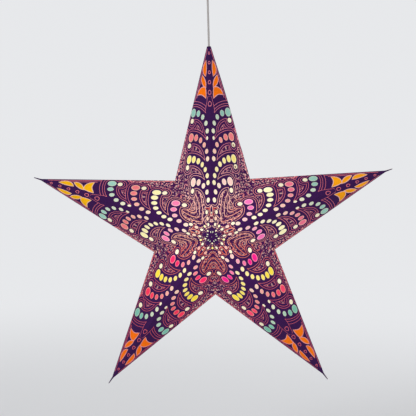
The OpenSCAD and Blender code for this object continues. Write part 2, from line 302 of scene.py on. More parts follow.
cable_curve = bpy.data.curves.new("lamp_cable", "CURVE")
cable_curve.dimensions = "3D"
cable_curve.bevel_depth = CABLE_DIAMETER / 2
cable_curve.bevel_resolution = 4
cable_curve.use_fill_caps = True
spline = cable_curve.splines.new("POLY")
spline.points.add(len(CABLE_HEIGHTS) - 1)
for point, height in zip(spline.points, CABLE_HEIGHTS):
    point.co = (0, 0, height * MM, 1)
lamp_cable = bpy.data.objects.new("lamp_cable", cable_curve)
bpy.context.scene.collection.objects.link(lamp_cable)
cable_curve.materials.append(cable_jacket())
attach(lamp_cable, "root")
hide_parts("cable")
print("cable length", round((CABLE_HEIGHTS[-1] - CABLE_HEIGHTS[0]) * MM, 3))

# %% [markdown]
# ## The sheet's own measures
#
# An arm is one sheet folded into a four-sided spike. All four faces are the same triangle between
# the folded point, the peak on the ridge and the notch between two arms. A place on it is two
# lengths in millimetres: along the ridge from the folded point, and across from the ridge. These
# measures are the CAD's own, so the folded sheet lands exactly on its solid.

# %% Measures of the star
STAR_WIDTH = 600.0
NOTCH_RADIUS = 107.0
PEAK_DEPTH = 95.0
DROP = 140.0
PAPER = 0.4
FLAP = 12.0
PINCH_OUT = 8.0
PINCH_LENGTH = 16.0
TOP_OUT = 5.0
ARMS = 5
ARM_STEP = math.radians(360 / ARMS)
HALF_STEP = ARM_STEP / 2

tip_radius = STAR_WIDTH / 2 / math.cos(math.radians(90 - 360 / ARMS))
middle_z = -(DROP + tip_radius)
notch_x = NOTCH_RADIUS * math.sin(HALF_STEP)
notch_z = NOTCH_RADIUS * math.cos(HALF_STEP)


class Face:
    """One face of an arm whose folds would meet at that distance from the star's middle."""

    def __init__(self, apex):
        self.apex = apex
        self.along = Vector((0, -PEAK_DEPTH, -apex)).normalized()
        edge = Vector((notch_x, 0, notch_z - apex))
        self.out = self.along.cross(edge).normalized()
        self.across = self.out.cross(self.along)
        self.length = math.hypot(PEAK_DEPTH, apex)
        self.notch = (edge.dot(self.along), edge.dot(self.across))
        self.spread = math.atan2(self.notch[1], self.notch[0])

    def place(self, p, q, lift=0.0):
        """The point that lies p along the ridge, q across from it and lift above the face."""
        return Vector((0, 0, self.apex)) + self.along * p + self.across * q + self.out * lift


arm_face = Face(tip_radius - PINCH_OUT)
top_face = Face(tip_radius + TOP_OUT)
print("ridge", round(arm_face.length, 1), "mm, notch at", [round(v, 1) for v in arm_face.notch])

# %% [markdown]
# ## Drawing the print
#
# The paper is dyed aubergine and printed with fine salmon lines, and plumes of graded ovals are
# left open or tinted so that the light shines through them. An image could carry this, but shapes
# cut into the mesh stay sharp at any distance and need no file. So every motif is a small polygon
# on the flat face, listed from the lowest coat of ink to the topmost, with the name of its ink.


# %% Shapes on the flat sheet
def oval(p, q, long, wide, turn=0.0, corners=14):
    """An oval about (p, q) with those half measures, turned anticlockwise."""
    points = []
    for i in range(corners):
        a = 2 * math.pi * i / corners
        x, y = long * math.cos(a), wide * math.sin(a)
        points.append(
            (p + x * math.cos(turn) - y * math.sin(turn), q + x * math.sin(turn) + y * math.cos(turn))
        )
    return points


def bow(start, bend, end, steps):
    """Points on the soft curve from start to end that leans towards bend."""
    points = []
    for i in range(steps + 1):
        t = i / steps
        points.append(
            tuple((1 - t) ** 2 * a + 2 * t * (1 - t) * b + t * t * c
                  for a, b, c in zip(start, bend, end))
        )
    return points


def twice_area(points):
    """Positive where the corners run anticlockwise."""
    return sum(a[0] * b[1] - b[0] * a[1] for a, b in zip(points, points[1:] + points[:1]))


def grown(points, distance):
    """The polygon with each corner moved outwards by that distance."""
    side = 1 if twice_area(points) > 0 else -1
    moved = []
    count = len(points)
    for i in range(count):
        ax, ay = points[i - 1]
        bx, by = points[(i + 1) % count]
        length = math.hypot(bx - ax, by - ay) or 1.0
        moved.append((points[i][0] + side * distance * (by - ay) / length,
                      points[i][1] - side * distance * (bx - ax) / length))
    return moved


# %% [markdown]
# ### Plumes of ovals
#
# The plumes stand where the CAD has its raised fields of ink. Each rises along the ridge, turns to
# the edge and grows on the way. It lies in a dark lobe with two salmon outlines. The lobes could
# be joined with booleans, but a wider coat painted under a narrower one gives the same outline
# round all of them at once.

# %% Plumes
PLUMES = (
    ("mint", 156, 38, 5, 84, (131.5, 44.5)),
    ("coral", 203, 44, 6, 86, (172.3, 52.4)),
    ("yellow", 243, 47, 7, 88, (208.9, 56.7)),
    ("pink", 272, 36, 5, 90, (250.5, 45.5)),
)
EYELETS = (PLUMES[1][5], PLUMES[2][5])
FOOT_ACROSS = 7.0
OVAL_LENGTHS = (4.2, 7.5)
OVAL_WIDTHS = (3.7, 6.5)
OVAL_GROWTH = 3.2
OVAL_LEAN = 0.22
SMALL_OVAL = (4.2, 4.4)
INK_SHARE = (0.8, 0.76)
LOBE_WIDTHS = (6.4, 10.6)
LOBE_FOOT = 8.5
LOBE_END = 9.2
SMALL_LOBE = (7.4, 6.4)


def plume_spot(plume, turn, beside=0.0):
    """A place on a plume's middle line, or beside it."""
    _, foot, radius = plume[:3]
    reach = radius + beside
    return foot - reach * math.sin(turn), FOOT_ACROSS + radius - reach * math.cos(turn)


def lobe_shapes(plume, wider):
    """The dark lobe of a plume as four shapes that overlap: its stem, its foot and its two ends."""
    steps = 12
    last = math.radians(plume[4])
    outer, inner = [], []
    for i in range(steps + 1):
        share = i / steps
        half = LOBE_WIDTHS[0] + (LOBE_WIDTHS[1] - LOBE_WIDTHS[0]) * share + wider
        outer.append(plume_spot(plume, last * share, half))
        inner.append(plume_spot(plume, last * share, -half))
    end = plume_spot(plume, last)
    lean = OVAL_LEAN * last
    return [
        outer + inner[::-1],
        oval(*plume_spot(plume, 0.0), LOBE_FOOT + wider, LOBE_WIDTHS[0] + wider, 0.0, 16),
        oval(*end, LOBE_WIDTHS[1] + wider, LOBE_END + wider, lean, 18),
        oval(*plume[5], SMALL_LOBE[0] + wider, SMALL_LOBE[1] + wider, 0.0, 16),
    ]


def plume_ovals(plume):
    """The ovals of a plume, each with a pale rim, and the small one at its end. The ink is cream
    at the ridge and gains its own colour towards the edge, in steps from 0 to 4."""
    ink, _, radius, count, degrees, small = plume
    spacing = radius * math.radians(degrees) / (count - 1)
    widest = min(OVAL_WIDTHS[1], 0.48 * spacing)
    shapes = []
    for i in range(count):
        share = i / (count - 1)
        turn = math.radians(degrees) * share
        growth = share ** OVAL_GROWTH
        long = OVAL_LENGTHS[0] + (OVAL_LENGTHS[1] - OVAL_LENGTHS[0]) * growth
        wide = OVAL_WIDTHS[0] + (widest - OVAL_WIDTHS[0]) * growth
        spot = plume_spot(plume, turn)
        step = f" {min(4, round(5 * share))}"
        shapes.append((ink + " rim" + step, oval(*spot, long, wide, OVAL_LEAN * turn)))
        inner = long * INK_SHARE[0], wide * INK_SHARE[1]
        shapes.append((ink + step, oval(*spot, *inner, OVAL_LEAN * turn)))
    shapes.append(("cream", oval(*small, *SMALL_OVAL)))
    return shapes


# %% [markdown]
# ### Leaves, rings and the tracery in the middle
#
# Near the tip, rings run down the ridge between orange leaves. Round the peak, where the ten front
# faces meet, small pale ovals stand in rings on a dark star and a drop lies on each ridge. Pale
# lines along the valley between two arms are mirrored on the neighbour's face, so that they close
# into buds.

# %% Leaves, rings and tracery
RING_LINE = 1.2
LEAF_RIM = 1.2
RINGS = ((24, 2.6), (40.5, 2.9), (57, 3.2), (74, 3.6), (91.5, 4.1), (111, 4.6))


def leaf_motifs():
    """The three leaves between the rings and the edge, each over a paler rim."""
    outlines = (
        bow((35, 7.6), (50, 22.0), (62, 9.0), 7) + bow((62, 9.0), (50, 6.0), (35, 7.6), 4)[1:-1],
        bow((59, 17.5), (70, 23.5), (82, 8.6), 7) + bow((82, 8.6), (68, 7.6), (59, 17.5), 5)[1:-1],
        bow((90, 30.5), (76, 24.0), (81, 10.2), 6) + bow((81, 10.2), (88, 8.2), (100, 9.0), 4)[1:]
        + bow((100, 9.0), (88, 17.0), (90, 30.5), 6)[1:-1],
    )
    shapes = []
    for outline in outlines:
        shapes.append(("leaf rim", grown(outline, LEAF_RIM)))
        shapes.append(("leaf", outline))
    return shapes


BUDS = ((36, 108, 0.36), (48, 94, 0.54), (60, 80, 0.72))
BUD_LINE = 1.2
STAR_CORNERS = ((19, -0.1), (19, 0.0), (13, 1.0), (13, 1.1))
PEAK_OVALS = (
    (44, 0.36, 3.6, 2.8, "cream"), (33, 0.4, 3.6, 2.8, "coral rim 2"), (23, 0.5, 3.0, 2.3, "cream"),
    (26, 1.0, 3.0, 2.0, "yellow rim 4"), (15, 1.0, 2.2, 1.4, "cream"), (9, 0.4, 1.7, 0.9, "mint rim 1"),
)


def peak_spot(face, radius, share):
    """A place round the peak. The share is 0 on the ridge and 1 on the valley."""
    corner = math.atan2(face.notch[1], face.length - face.notch[0])
    return face.length - radius * math.cos(corner * share), radius * math.sin(corner * share)


def bud_motifs(face):
    """The halves of the buds that close over the valley, and the ember ground by the ridge."""
    ember = bow((258, -1), (266, 18), (284, 13), 5) + bow((284, 13), (300, 9), (306, -1), 5)[1:]
    shapes = [("ember", ember)]
    for inner, outer, share in BUDS:
        bud = (
            bow(peak_spot(face, inner, 1.0), peak_spot(face, inner + 0.3 * (outer - inner), share),
                peak_spot(face, outer, share + 0.1), 8)
            + bow(peak_spot(face, outer, share + 0.1), peak_spot(face, outer * 0.82, share + 0.2),
                  peak_spot(face, outer * 0.85, 1.0), 6)[1:]
            + [peak_spot(face, outer * 0.85, 1.15), peak_spot(face, inner, 1.15)]
        )
        shapes.append(("pale line", bud))
        shapes.append(("ground", grown(bud, -BUD_LINE)))
    return shapes


def peak_motifs(face):
    """The dark star, the drop on the ridge and the rings of small ovals round the peak."""
    corner = math.atan2(face.notch[1], face.length - face.notch[0])
    star = [peak_spot(face, *corner_of_star) for corner_of_star in STAR_CORNERS]
    shapes = [
        ("night", star + [(face.length + 4, -2)]),
        ("line", bow((280, 0), (290, 8.0), (300, 0), 8)),
        ("night", bow((282.4, 0), (290, 5.6), (298.8, 0), 8)),
        ("cream", oval(294, 0, 1.5, 1.2, corners=10)),
    ]
    for radius, share, long, wide, ink in PEAK_OVALS:
        spot = peak_spot(face, radius, share)
        shapes.append(("night", oval(*spot, long + 1.6, wide + 1.4, -corner * share, 12)))
        shapes.append((ink, oval(*spot, long, wide, -corner * share, 12)))
    return shapes


RIDGE_BAND = [(98, -2), (98, 4), (118, 9.6), (232, 10.4), (256, 8.4), (276, 4.4), (292, -2)]
TIP_GROUND = [(-4, -2), (118, -2), (112, 12), (101, 50), (-4, 50)]
SEAM_LINES = ((16, 232, 1.9), (40, 100, 5.2))
LINE = 1.1
MINT_COATS = ((9.2, "line"), (8.5, "night"))
COATS = ((4.5, "line"), (3.8, "night"), (0.9, "line"), (0.2, "night"))
BAND_UP_TO = 2


def list_motifs(face):
    """All motifs of a face, from the lowest coat of ink to the topmost."""
    turned = (math.cos(face.spread), math.sin(face.spread))
    shapes = [("night", TIP_GROUND)]
    for start, end, inward in SEAM_LINES:
        shapes.append(("line", [
            (turned[0] * d + turned[1] * i, turned[1] * d - turned[0] * i)
            for d, i in ((start, inward), (end, inward), (end, inward + LINE), (start, inward + LINE))
        ]))
    shapes += bud_motifs(face)
    for wider, ink in MINT_COATS:
        shapes += [(ink, shape) for shape in lobe_shapes(PLUMES[0], wider)]
    for wider, ink in COATS:
        for plume in PLUMES:
            shapes += [(ink, shape) for shape in lobe_shapes(plume, wider)]
        if wider < BAND_UP_TO:
            shapes.append((ink, grown(RIDGE_BAND, wider)))
    for plume in PLUMES:
        shapes += plume_ovals(plume)
    shapes.append(("cream", oval(168, 7.4, 3.2, 2.3)))
    shapes += peak_motifs(face)
    for p, radius in RINGS:
        shapes.append(("line", oval(p, 0, radius, radius, corners=18)))
        shapes.append(("night", oval(p, 0, radius - RING_LINE, radius - RING_LINE, corners=18)))
    shapes += leaf_motifs()
    return shapes


print("motifs on a face:", len(list_motifs(arm_face)))

# %% [markdown]
# ### Cutting the sheet
#
# All outlines go into one triangulation, so a triangle never crosses a motif's edge. Each triangle
# belongs to the topmost motif over it. A loose grid of extra points lets the paper bulge between
# its folds, and points along the folds are shared by the faces that meet there.


# %% Cut one face into inked triangles
RIDGE_STEPS = 40
BASE_STEPS = 16
SEAM_STEPS = 30
GRID = 8.5
GRID_MARGIN = 3
BASE_SLOPE = math.tan(0.69)
EYELET_RADIUS = 1.05


def cut_sheet(face, trimmed, punched):
    """Returns the corners as (p, q) and the triangles with the name of their ink."""
    length, (along, across) = face.length, face.notch
    seam = math.hypot(along, across)
    if trimmed:
        cut_ridge, cut_seam = trimmed
        outline = [(cut_ridge, 0.0)]
        seam_start = cut_seam
    else:
        outline = [(0.0, 0.0)]
        seam_start = 0.0
    first = outline[0][0]
    outline += [(first + (length - first) * i / RIDGE_STEPS, 0.0) for i in range(1, RIDGE_STEPS)]
    outline += [(length, 0.0)]
    outline += [(length + (along - length) * i / BASE_STEPS, across * i / BASE_STEPS)
                for i in range(1, BASE_STEPS)]
    for i in range(SEAM_STEPS + 1 if trimmed else SEAM_STEPS):
        reach = seam + (seam_start - seam) * i / SEAM_STEPS
        outline.append((along * reach / seam, across * reach / seam))
    shapes = [("lace", outline)] + list_motifs(face)
    for p, q in EYELETS:
        if punched:
            shapes.append(("hole", oval(p, q, EYELET_RADIUS, EYELET_RADIUS, corners=12)))
    corners, faces, inks = [], [], []
    for ink, points in shapes:
        faces.append(list(range(len(corners), len(corners) + len(points))))
        ordered = points if twice_area(points) > 0 else points[::-1]
        corners += [Vector(point) for point in ordered]
        inks.append(ink)
    for row in range(int(across / GRID) + 1):
        for column in range(int(length / GRID) + 1):
            p = (column + 0.5 * (row % 2)) * GRID + 3
            q = row * GRID * 0.87 + 4
            room = min(p * math.tan(face.spread), (length - p) * BASE_SLOPE)
            if q < room - GRID_MARGIN:
                corners.append(Vector((p, q)))
    points, _, cells, _, _, origins = delaunay_2d_cdt(corners, [], faces, 1, 1e-5, True)
    triangles = []
    for cell, origin in zip(cells, origins):
        if 0 in origin:
            ink = inks[max(origin)]
            if ink != "hole":
                triangles.append((tuple(cell), ink))
    return [tuple(point) for point in points], triangles


def cable_trim(face):
    """Where the top arm's sheet is cut for the cable, along the ridge and along the seam."""
    side = math.hypot(face.out.x, face.out.y)
    drop = (CABLE_DIAMETER / MM / 2 + 0.3) * side / face.out.z + PAPER / face.out.z
    edge = math.hypot(*face.notch)
    return drop / -face.along.z, drop * edge / (face.apex - notch_z)


arm_sheet = cut_sheet(arm_face, None, False)
top_sheet = cut_sheet(top_face, cable_trim(top_face), True)
print("triangles on a face:", len(arm_sheet[1]), "and on the top arm", len(top_sheet[1]))

# %% [markdown]
# ## Inks
#
# The light is stronger at the middle, and the same design reads differently on each arm: the upper
# arms are paler, the lower ones hotter. A palette per arm names each ink once, as its colour on the
# lit paper, so each colour is the ink with the bulb's light painted into it.

# %% Palettes
ARM_NAMES = ("arm_top", "arm_upper_right", "arm_lower_right", "arm_lower_left", "arm_upper_left")
COMMON_INKS = {
    "lace": (62, 18, 76),
    "ground": (66, 18, 74),
    "night": (56, 18, 78),
    "ember": (84, 20, 60),
    "cream": (255, 246, 214),
}
# Each arm's inks as seen lit: the print's colour with painted light, paler on the upper arms, hotter on
# the lower.
ARM_LIT_INKS = (
    {"mint": (150, 205, 192), "mint rim": (190, 214, 196), "coral": (248, 132, 140),
     "coral rim": (250, 186, 166), "yellow": (254, 240, 140), "yellow rim": (255, 244, 190),
     "pink": (252, 212, 204), "pink rim": (255, 238, 218), "leaf": (255, 122, 4),
     "leaf rim": (236, 176, 184), "line": (228, 126, 148), "pale line": (255, 192, 178)},
    {"mint": (158, 208, 196), "mint rim": (194, 216, 194), "coral": (242, 120, 150),
     "coral rim": (250, 186, 180), "yellow": (255, 252, 200), "yellow rim": (255, 248, 214),
     "pink": (246, 116, 186), "pink rim": (250, 178, 206), "leaf": (255, 168, 12),
     "leaf rim": (240, 190, 186), "line": (224, 116, 130), "pale line": (250, 168, 150)},
    {"mint": (128, 200, 180), "mint rim": (172, 208, 186), "coral": (252, 76, 114),
     "coral rim": (250, 150, 142), "yellow": (254, 232, 78), "yellow rim": (254, 234, 142),
     "pink": (248, 34, 148), "pink rim": (246, 128, 166), "leaf": (255, 124, 8),
     "leaf rim": (236, 160, 160), "line": (214, 98, 118), "pale line": (232, 126, 104)},
    {"mint": (128, 198, 182), "mint rim": (172, 206, 186), "coral": (254, 58, 100),
     "coral rim": (250, 144, 134), "yellow": (254, 228, 66), "yellow rim": (254, 230, 134),
     "pink": (254, 48, 112), "pink rim": (250, 134, 150), "leaf": (255, 118, 6),
     "leaf rim": (236, 160, 160), "line": (216, 96, 112), "pale line": (232, 122, 100)},
    {"mint": (166, 220, 206), "mint rim": (200, 222, 200), "coral": (248, 130, 138),
     "coral rim": (250, 186, 170), "yellow": (255, 250, 186), "yellow rim": (255, 246, 204),
     "pink": (248, 130, 180), "pink rim": (250, 186, 204), "leaf": (255, 190, 6),
     "leaf rim": (242, 196, 182), "line": (228, 120, 136), "pale line": (252, 178, 154)},
)
LACED = {"lace": 1.0, "ground": 0.5, "ember": 1.0}
LACE_INSIDE = 0.55
EMBER_THREAD = (188, 60, 62)


def ink_colour(arm, ink):
    """The ink on that arm, with the bulb's light painted in. A number after its name says how far it has
    left cream.
    """
    inks = COMMON_INKS | ARM_LIT_INKS[arm]
    name, _, step = ink.rpartition(" ")
    if not step.isdigit():
        return linear(*inks[ink])
    share = (int(step) + 1) / 5
    return linear(*(a + (b - a) * share for a, b in zip(inks["cream"], inks[name])))


print("inks on an arm:", len(COMMON_INKS) + len(ARM_LIT_INKS[0]))

# %% [markdown]
# ## The bulb's light in the paper
#
# Paper this thin scatters what falls on its back out through its front, so the glow follows how
# much light reaches each spot inside: strong by the bulb, weak in the tips, softened because the
# white inside bounces light on. That is worked out once for each corner and kept on the mesh, so
# the lantern looks lit in any scene, and no lamp has to be calculated through the paper.

# %% Light reaching a place on the paper
GLOW_NEAREST = 71.0
GLOW_SOFTNESS = 0.36
GLOW_FLOOR = 0.2


def glow_at(place, normal):
    """The share of the brightest light that reaches a place, given from the star's middle."""
    distance = max(place.length, 40.0)
    facing = max(abs(normal.dot(place)) / distance, 0.12)
    light = facing * (GLOW_NEAREST / distance) ** 2
    return GLOW_FLOOR + (1 - GLOW_FLOOR) * min(1.0, light) ** GLOW_SOFTNESS


for distance in (95, 200, 307):
    print("glow at", distance, "mm:", round(glow_at(Vector((0, -distance, 0)), arm_face.out), 2))

# %% [markdown]
# ## Folding an arm
#
# The cut face is laid on the four sides of the spike by mirroring. Corners on a fold fall on each
# other and are merged, so the fold is one true edge. Between folds the paper swells by about a
# millimetre, which is what breaks the light on real card. The glue flaps are inside, turned in
# along the plane between two arms. The top arm's right edge is not glued: its front lifts a
# little between the two ties.


# %% Fold a sheet into an arm
SWELL = 1.0
SWELL_RIPPLE = 1.3
SWELL_MARGIN = 20
RIPPLE_LENGTH, RIPPLE_WIDTH = 46, 24


def smooth_share(value):
    """The value held between 0 and 1, with a soft start and end."""
    value = min(1.0, max(0.0, value))
    return value * value * (3 - 2 * value)


class Folded:
    """Collects corners, triangles and their colours while an arm is folded."""

    def __init__(self, arm):
        self.arm = arm
        self.places, self.glow, self.sheet = [], [], []
        self.faces, self.inks = [], []
        self.known = {}
        angle = arm * ARM_STEP
        self.turn = Matrix.Translation((0, 0, middle_z)) @ Matrix.Rotation(angle, 4, "Y")

    def corner(self, place, normal, flat):
        key = tuple(round(c * 50) for c in place)
        if key not in self.known:
            self.known[key] = len(self.places)
            self.places.append((self.turn @ place) * MM)
            self.glow.append(glow_at(place, normal))
            self.sheet.append(flat)
        return self.known[key]

    def face(self, corners, ink):
        if len(set(corners)) == len(corners):
            self.faces.append(corners)
            self.inks.append(ink)


def swell(face, arm, side, p, q):
    """How far the paper stands out of the flat face: nothing on the folds, most in the middle."""
    across_seam = p * math.sin(face.spread) - q * math.cos(face.spread)
    corner = math.atan2(face.notch[1], face.length - face.notch[0])
    across_base = (face.length - p) * math.sin(corner) - q * math.cos(corner)
    inside = min(q, across_seam, across_base)
    share = smooth_share(inside / SWELL_MARGIN)
    ripple = noise.noise(Vector((p / RIPPLE_LENGTH, q / RIPPLE_WIDTH, arm * 5.3 + side * 1.7)))
    return share * (SWELL + SWELL_RIPPLE * ripple)


TIED_START = 26.0
TIED_LIFTS = (1.5, 0.8, 0.5)
LIFT_WIDTH = 9
RIDGE_HOLD = 8


def open_edge(face, p, q):
    """How far the top arm's tied edge lifts between its ties. The ridge itself stays put."""
    seam = math.hypot(*face.notch)
    cosine, sine = math.cos(face.spread), math.sin(face.spread)
    along = p * cosine + q * sine
    away = p * sine - q * cosine
    if away > TIED_START:
        return 0.0
    stops = [TIED_START] + [hole[0] * cosine + hole[1] * sine for hole in EYELETS] + [seam - FLAP]
    for start, end, height in zip(stops, stops[1:], TIED_LIFTS):
        if start < along < end:
            share = (along - start) / (end - start)
            lift = height * math.sin(math.pi * share) * math.exp(-((away / LIFT_WIDTH) ** 2))
            return lift * smooth_share(q / RIDGE_HOLD)
    return 0.0


def fold_faces(folded, face, sheet, hole_side):
    """Lays the cut face on the four sides of the spike."""
    points, triangles = sheet
    used = sorted({i for cell, _ in triangles for i in cell})
    for side in (1, -1):
        for front in (1, -1):
            mirror = Vector((side, front, 1))
            normal = Vector(tuple(a * b for a, b in zip(face.out, mirror)))
            corners = {}
            number = 0 if side * front > 0 else 1
            for i in used:
                p, q = points[i]
                lift = swell(face, folded.arm, number + (2 if front > 0 else 0), p, q)
                if hole_side and side > 0 and front > 0:
                    lift += open_edge(face, p, q)
                place = face.place(p, q, lift)
                place = Vector(tuple(a * b for a, b in zip(place, mirror)))
                corners[i] = folded.corner(place, normal, (p, q))
            flip = side * front > 0
            for cell, ink in triangles:
                loop = [corners[i] for i in cell]
                folded.face(loop if flip else loop[::-1], ink)


def add_base_flaps(folded, face):
    """Flaps from the edge between peak and notch, turned in along the plane between two arms."""
    steps = 16
    sine, cosine = math.sin(HALF_STEP), math.cos(HALF_STEP)
    for side in (1, -1):
        for front in (1, -1):
            outer, inner = [], []
            plane = Vector((side * cosine, 0, -sine))
            inwards = Vector((-side * PEAK_DEPTH * sine, front * NOTCH_RADIUS, -PEAK_DEPTH * cosine))
            for i in range(steps + 1):
                share = i / steps
                edge = Vector((side * notch_x * share, -front * PEAK_DEPTH * (1 - share),
                               notch_z * share))
                width = FLAP * smooth_share(min(share, 1 - share) * 5 + 0.05)
                outer.append(folded.corner(edge, plane, (0, 0)))
                inner.append(folded.corner(edge + inwards.normalized() * width, plane, (0, 0)))
            for i in range(steps):
                loop = [outer[i], inner[i], inner[i + 1], outer[i + 1]]
                folded.face(loop if side * front > 0 else loop[::-1], "white")


TOP_FLAP_START = 30.0
RIDGE_ROOM = 3.0


def add_seam_flap(folded, face, start):
    """The flap under the front face along the arm's right edge, cut short of the ridge."""
    seam = math.hypot(*face.notch)
    slope = math.tan(face.spread)
    start = max(start, (RIDGE_ROOM + 1) / slope)
    steps = 24
    depth = 2 * PAPER + 0.1
    rows = ([], [])
    for i in range(steps + 1):
        along = start + (seam - 2 - start) * i / steps
        width = min(FLAP * smooth_share(min(i, steps - i) / 3 + 0.2), along * slope - RIDGE_ROOM)
        for row, inward in zip(rows, (0.4, width)):
            p = along * math.cos(face.spread) + inward * math.sin(face.spread)
            q = along * math.sin(face.spread) - inward * math.cos(face.spread)
            row.append(folded.corner(face.place(p, q, -depth), face.out, (p, q)))
    for i in range(steps):
        folded.face([rows[0][i], rows[0][i + 1], rows[1][i + 1], rows[1][i]], "white")


# %% [markdown]
# The arms other than the top one end in a strip of doubled paper, pressed flat and glued, that
# sticks out of the folded point. It is two narrow sheets, back to back, with a slight twist,
# because paper that is pinched by hand never stays quite straight.


# %% Pressed strip at the tip
STRIP_HALF = 1.5
STRIP_TAPER = 0.9
STRIP_TWIST = 0.35


def add_pinched_tip(folded):
    """The two narrow sheets of the strip, from ring to ring."""
    steps = 6
    rings = []
    for i in range(steps + 1):
        share = i / steps
        height = tip_radius - PINCH_LENGTH + PINCH_LENGTH * share
        half = STRIP_HALF - STRIP_TAPER * share
        twist = STRIP_TWIST * share
        ring = []
        for x, y in ((-half, -PAPER), (half, -PAPER), (half, PAPER), (-half, PAPER)):
            place = Vector((x * math.cos(twist) - y * math.sin(twist) * 0.6,
                            x * math.sin(twist) * 0.6 + y, height))
            ring.append(folded.corner(place, Vector((0, -1, 0)), (2 + 3 * share, x)))
        rings.append(ring)
    for a, b in zip(rings, rings[1:]):
        for k, n in ((0, 1), (2, 3)):
            folded.face([a[k], a[n], b[n], b[k]], "night")


# %% [markdown]
# ## The printed paper
#
# One material serves all arms, because everything that differs is kept on the mesh: the ink, the
# colour of the fine lines, how laced a place is, and the glow. The fine lace itself is too small
# to cut, so it is drawn in the shader: broken contour lines of a noise for the curls, and the
# seeds of small cells for the dots between them. Ink lit from behind is a see-through colour, so
# the glow carries the ink's own colour into the emission.


# %% Lace line group
def make_lace_lines():
    tree, entry, leave = new_group(
        "lace lines",
        [("Vector", "NodeSocketVector", None), ("Fineness", "NodeSocketFloat", 1.0)],
        [("Curls", "NodeSocketFloat"), ("Dots", "NodeSocketFloat")],
    )
    scaled = add_node(tree, "ShaderNodeVectorMath", operation="SCALE", inputs={
        0: entry.outputs["Vector"], "Scale": entry.outputs["Fineness"]}).outputs[0]
    drift = add_node(tree, "ShaderNodeTexNoise", noise_dimensions="2D", inputs={
        "Vector": scaled, "Scale": 0.08, "Detail": 1.0})
    bent = add_node(tree, "ShaderNodeVectorMath", operation="MULTIPLY_ADD", inputs={
        0: drift.outputs["Color"], 1: (12.0, 12.0, 0.0), 2: scaled}).outputs[0]
    hills = add_node(tree, "ShaderNodeTexNoise", noise_dimensions="2D", inputs={
        "Vector": bent, "Scale": 0.11, "Detail": 0.5, "Roughness": 0.4})
    levels = math_node(tree, "MULTIPLY", hills.outputs["Fac"], 15.0)
    contours = add_node(tree, "ShaderNodeMapRange", inputs={
        "Value": math_node(tree, "SINE", levels), "From Min": 0.76, "From Max": 0.9}).outputs[0]
    breaks = add_node(tree, "ShaderNodeTexNoise", noise_dimensions="2D", inputs={
        "Vector": scaled, "Scale": 0.22, "Detail": 0.0})
    whole = add_node(tree, "ShaderNodeMapRange", inputs={
        "Value": breaks.outputs["Fac"], "From Min": 0.42, "From Max": 0.48}).outputs[0]
    curls = math_node(tree, "MULTIPLY", contours, whole)
    seeds = add_node(tree, "ShaderNodeTexVoronoi", voronoi_dimensions="2D", feature="F1",
                     inputs={"Vector": bent, "Scale": 0.2, "Randomness": 0.7})
    dots = add_node(tree, "ShaderNodeMapRange", inputs={
        "Value": seeds.outputs["Distance"], "From Min": 0.29, "From Max": 0.22}).outputs[0]
    apart = math_node(tree, "SUBTRACT", dots, contours, clamp=True)
    tree.links.new(curls, leave.inputs["Curls"])
    tree.links.new(apart, leave.inputs["Dots"])
    return tree


lace_lines = make_lace_lines()
print("group:", lace_lines.name)


# %% Printed paper and its white back
INK_SURFACE = 0.62
INK_GLOW = 0.75
BACK_GLOW = 0.9
PAPER_SHEEN = 0.12
BULB_TINT = (1.0, 0.93, 0.86, 1.0)
PALE_DOT = linear(255, 214, 202)
PALE_SHARE = 0.75


def printed_paper():
    """Ink, fine lines and light in one material: all that differs is kept on the mesh."""
    material, tree, shader = new_material("printed paper")
    place = tree.nodes.new("ShaderNodeTexCoord").outputs["Object"]
    sheet = add_node(tree, "ShaderNodeUVMap", uv_map="sheet").outputs[0]
    ink = add_node(tree, "ShaderNodeAttribute", attribute_name="ink").outputs["Color"]
    thread = add_node(tree, "ShaderNodeAttribute", attribute_name="thread").outputs["Color"]
    laced = add_node(tree, "ShaderNodeAttribute", attribute_name="laced").outputs["Fac"]
    glow = add_node(tree, "ShaderNodeAttribute", attribute_name="glow").outputs["Fac"]
    flat = add_node(tree, "ShaderNodeVectorMath", operation="SCALE",
                    inputs={0: sheet, "Scale": 1000.0}).outputs[0]
    lace = add_node(tree, "ShaderNodeGroup", node_tree=lace_lines,
                    inputs={"Vector": flat, "Fineness": 1.0})
    curls = math_node(tree, "MULTIPLY", lace.outputs["Curls"], laced)
    dots = math_node(tree, "MULTIPLY", lace.outputs["Dots"], laced)
    pale = mix_colours(tree, PALE_SHARE, thread, PALE_DOT)
    printed = mix_colours(tree, dots, mix_colours(tree, curls, ink, thread), pale)
    fibre = add_node(tree, "ShaderNodeGroup", node_tree=paper_fibre,
                     inputs={"Vector": place, "Fineness": 1.0})
    mottled = add_node(tree, "ShaderNodeMapRange", inputs={
        "Value": fibre.outputs["Shade"], "From Min": 0.2, "From Max": 0.75,
        "To Min": 0.84, "To Max": 1.1})
    surface = math_node(tree, "MULTIPLY", mottled.outputs[0], INK_SURFACE)
    base = add_node(tree, "ShaderNodeVectorMath", operation="SCALE",
                    inputs={0: printed, "Scale": surface})
    tree.links.new(base.outputs[0], shader.inputs["Base Color"])
    shine = math_node(tree, "MULTIPLY", glow, mottled.outputs[0])
    lit = add_node(tree, "ShaderNodeVectorMath", operation="SCALE",
                   inputs={0: printed, "Scale": shine})
    warm = mix_colours(tree, 1.0, lit.outputs[0], BULB_TINT, "MULTIPLY")
    tree.links.new(warm, shader.inputs["Emission Color"])
    shader.inputs["Emission Strength"].default_value = INK_GLOW
    bumped = add_node(tree, "ShaderNodeBump", inputs={
        "Height": fibre.outputs["Height"], "Strength": 0.35, "Distance": 0.00015})
    tree.links.new(bumped.outputs[0], shader.inputs["Normal"])
    shader.inputs["Roughness"].default_value = 0.85
    shader.inputs["Specular IOR Level"].default_value = PAPER_SHEEN
    return material


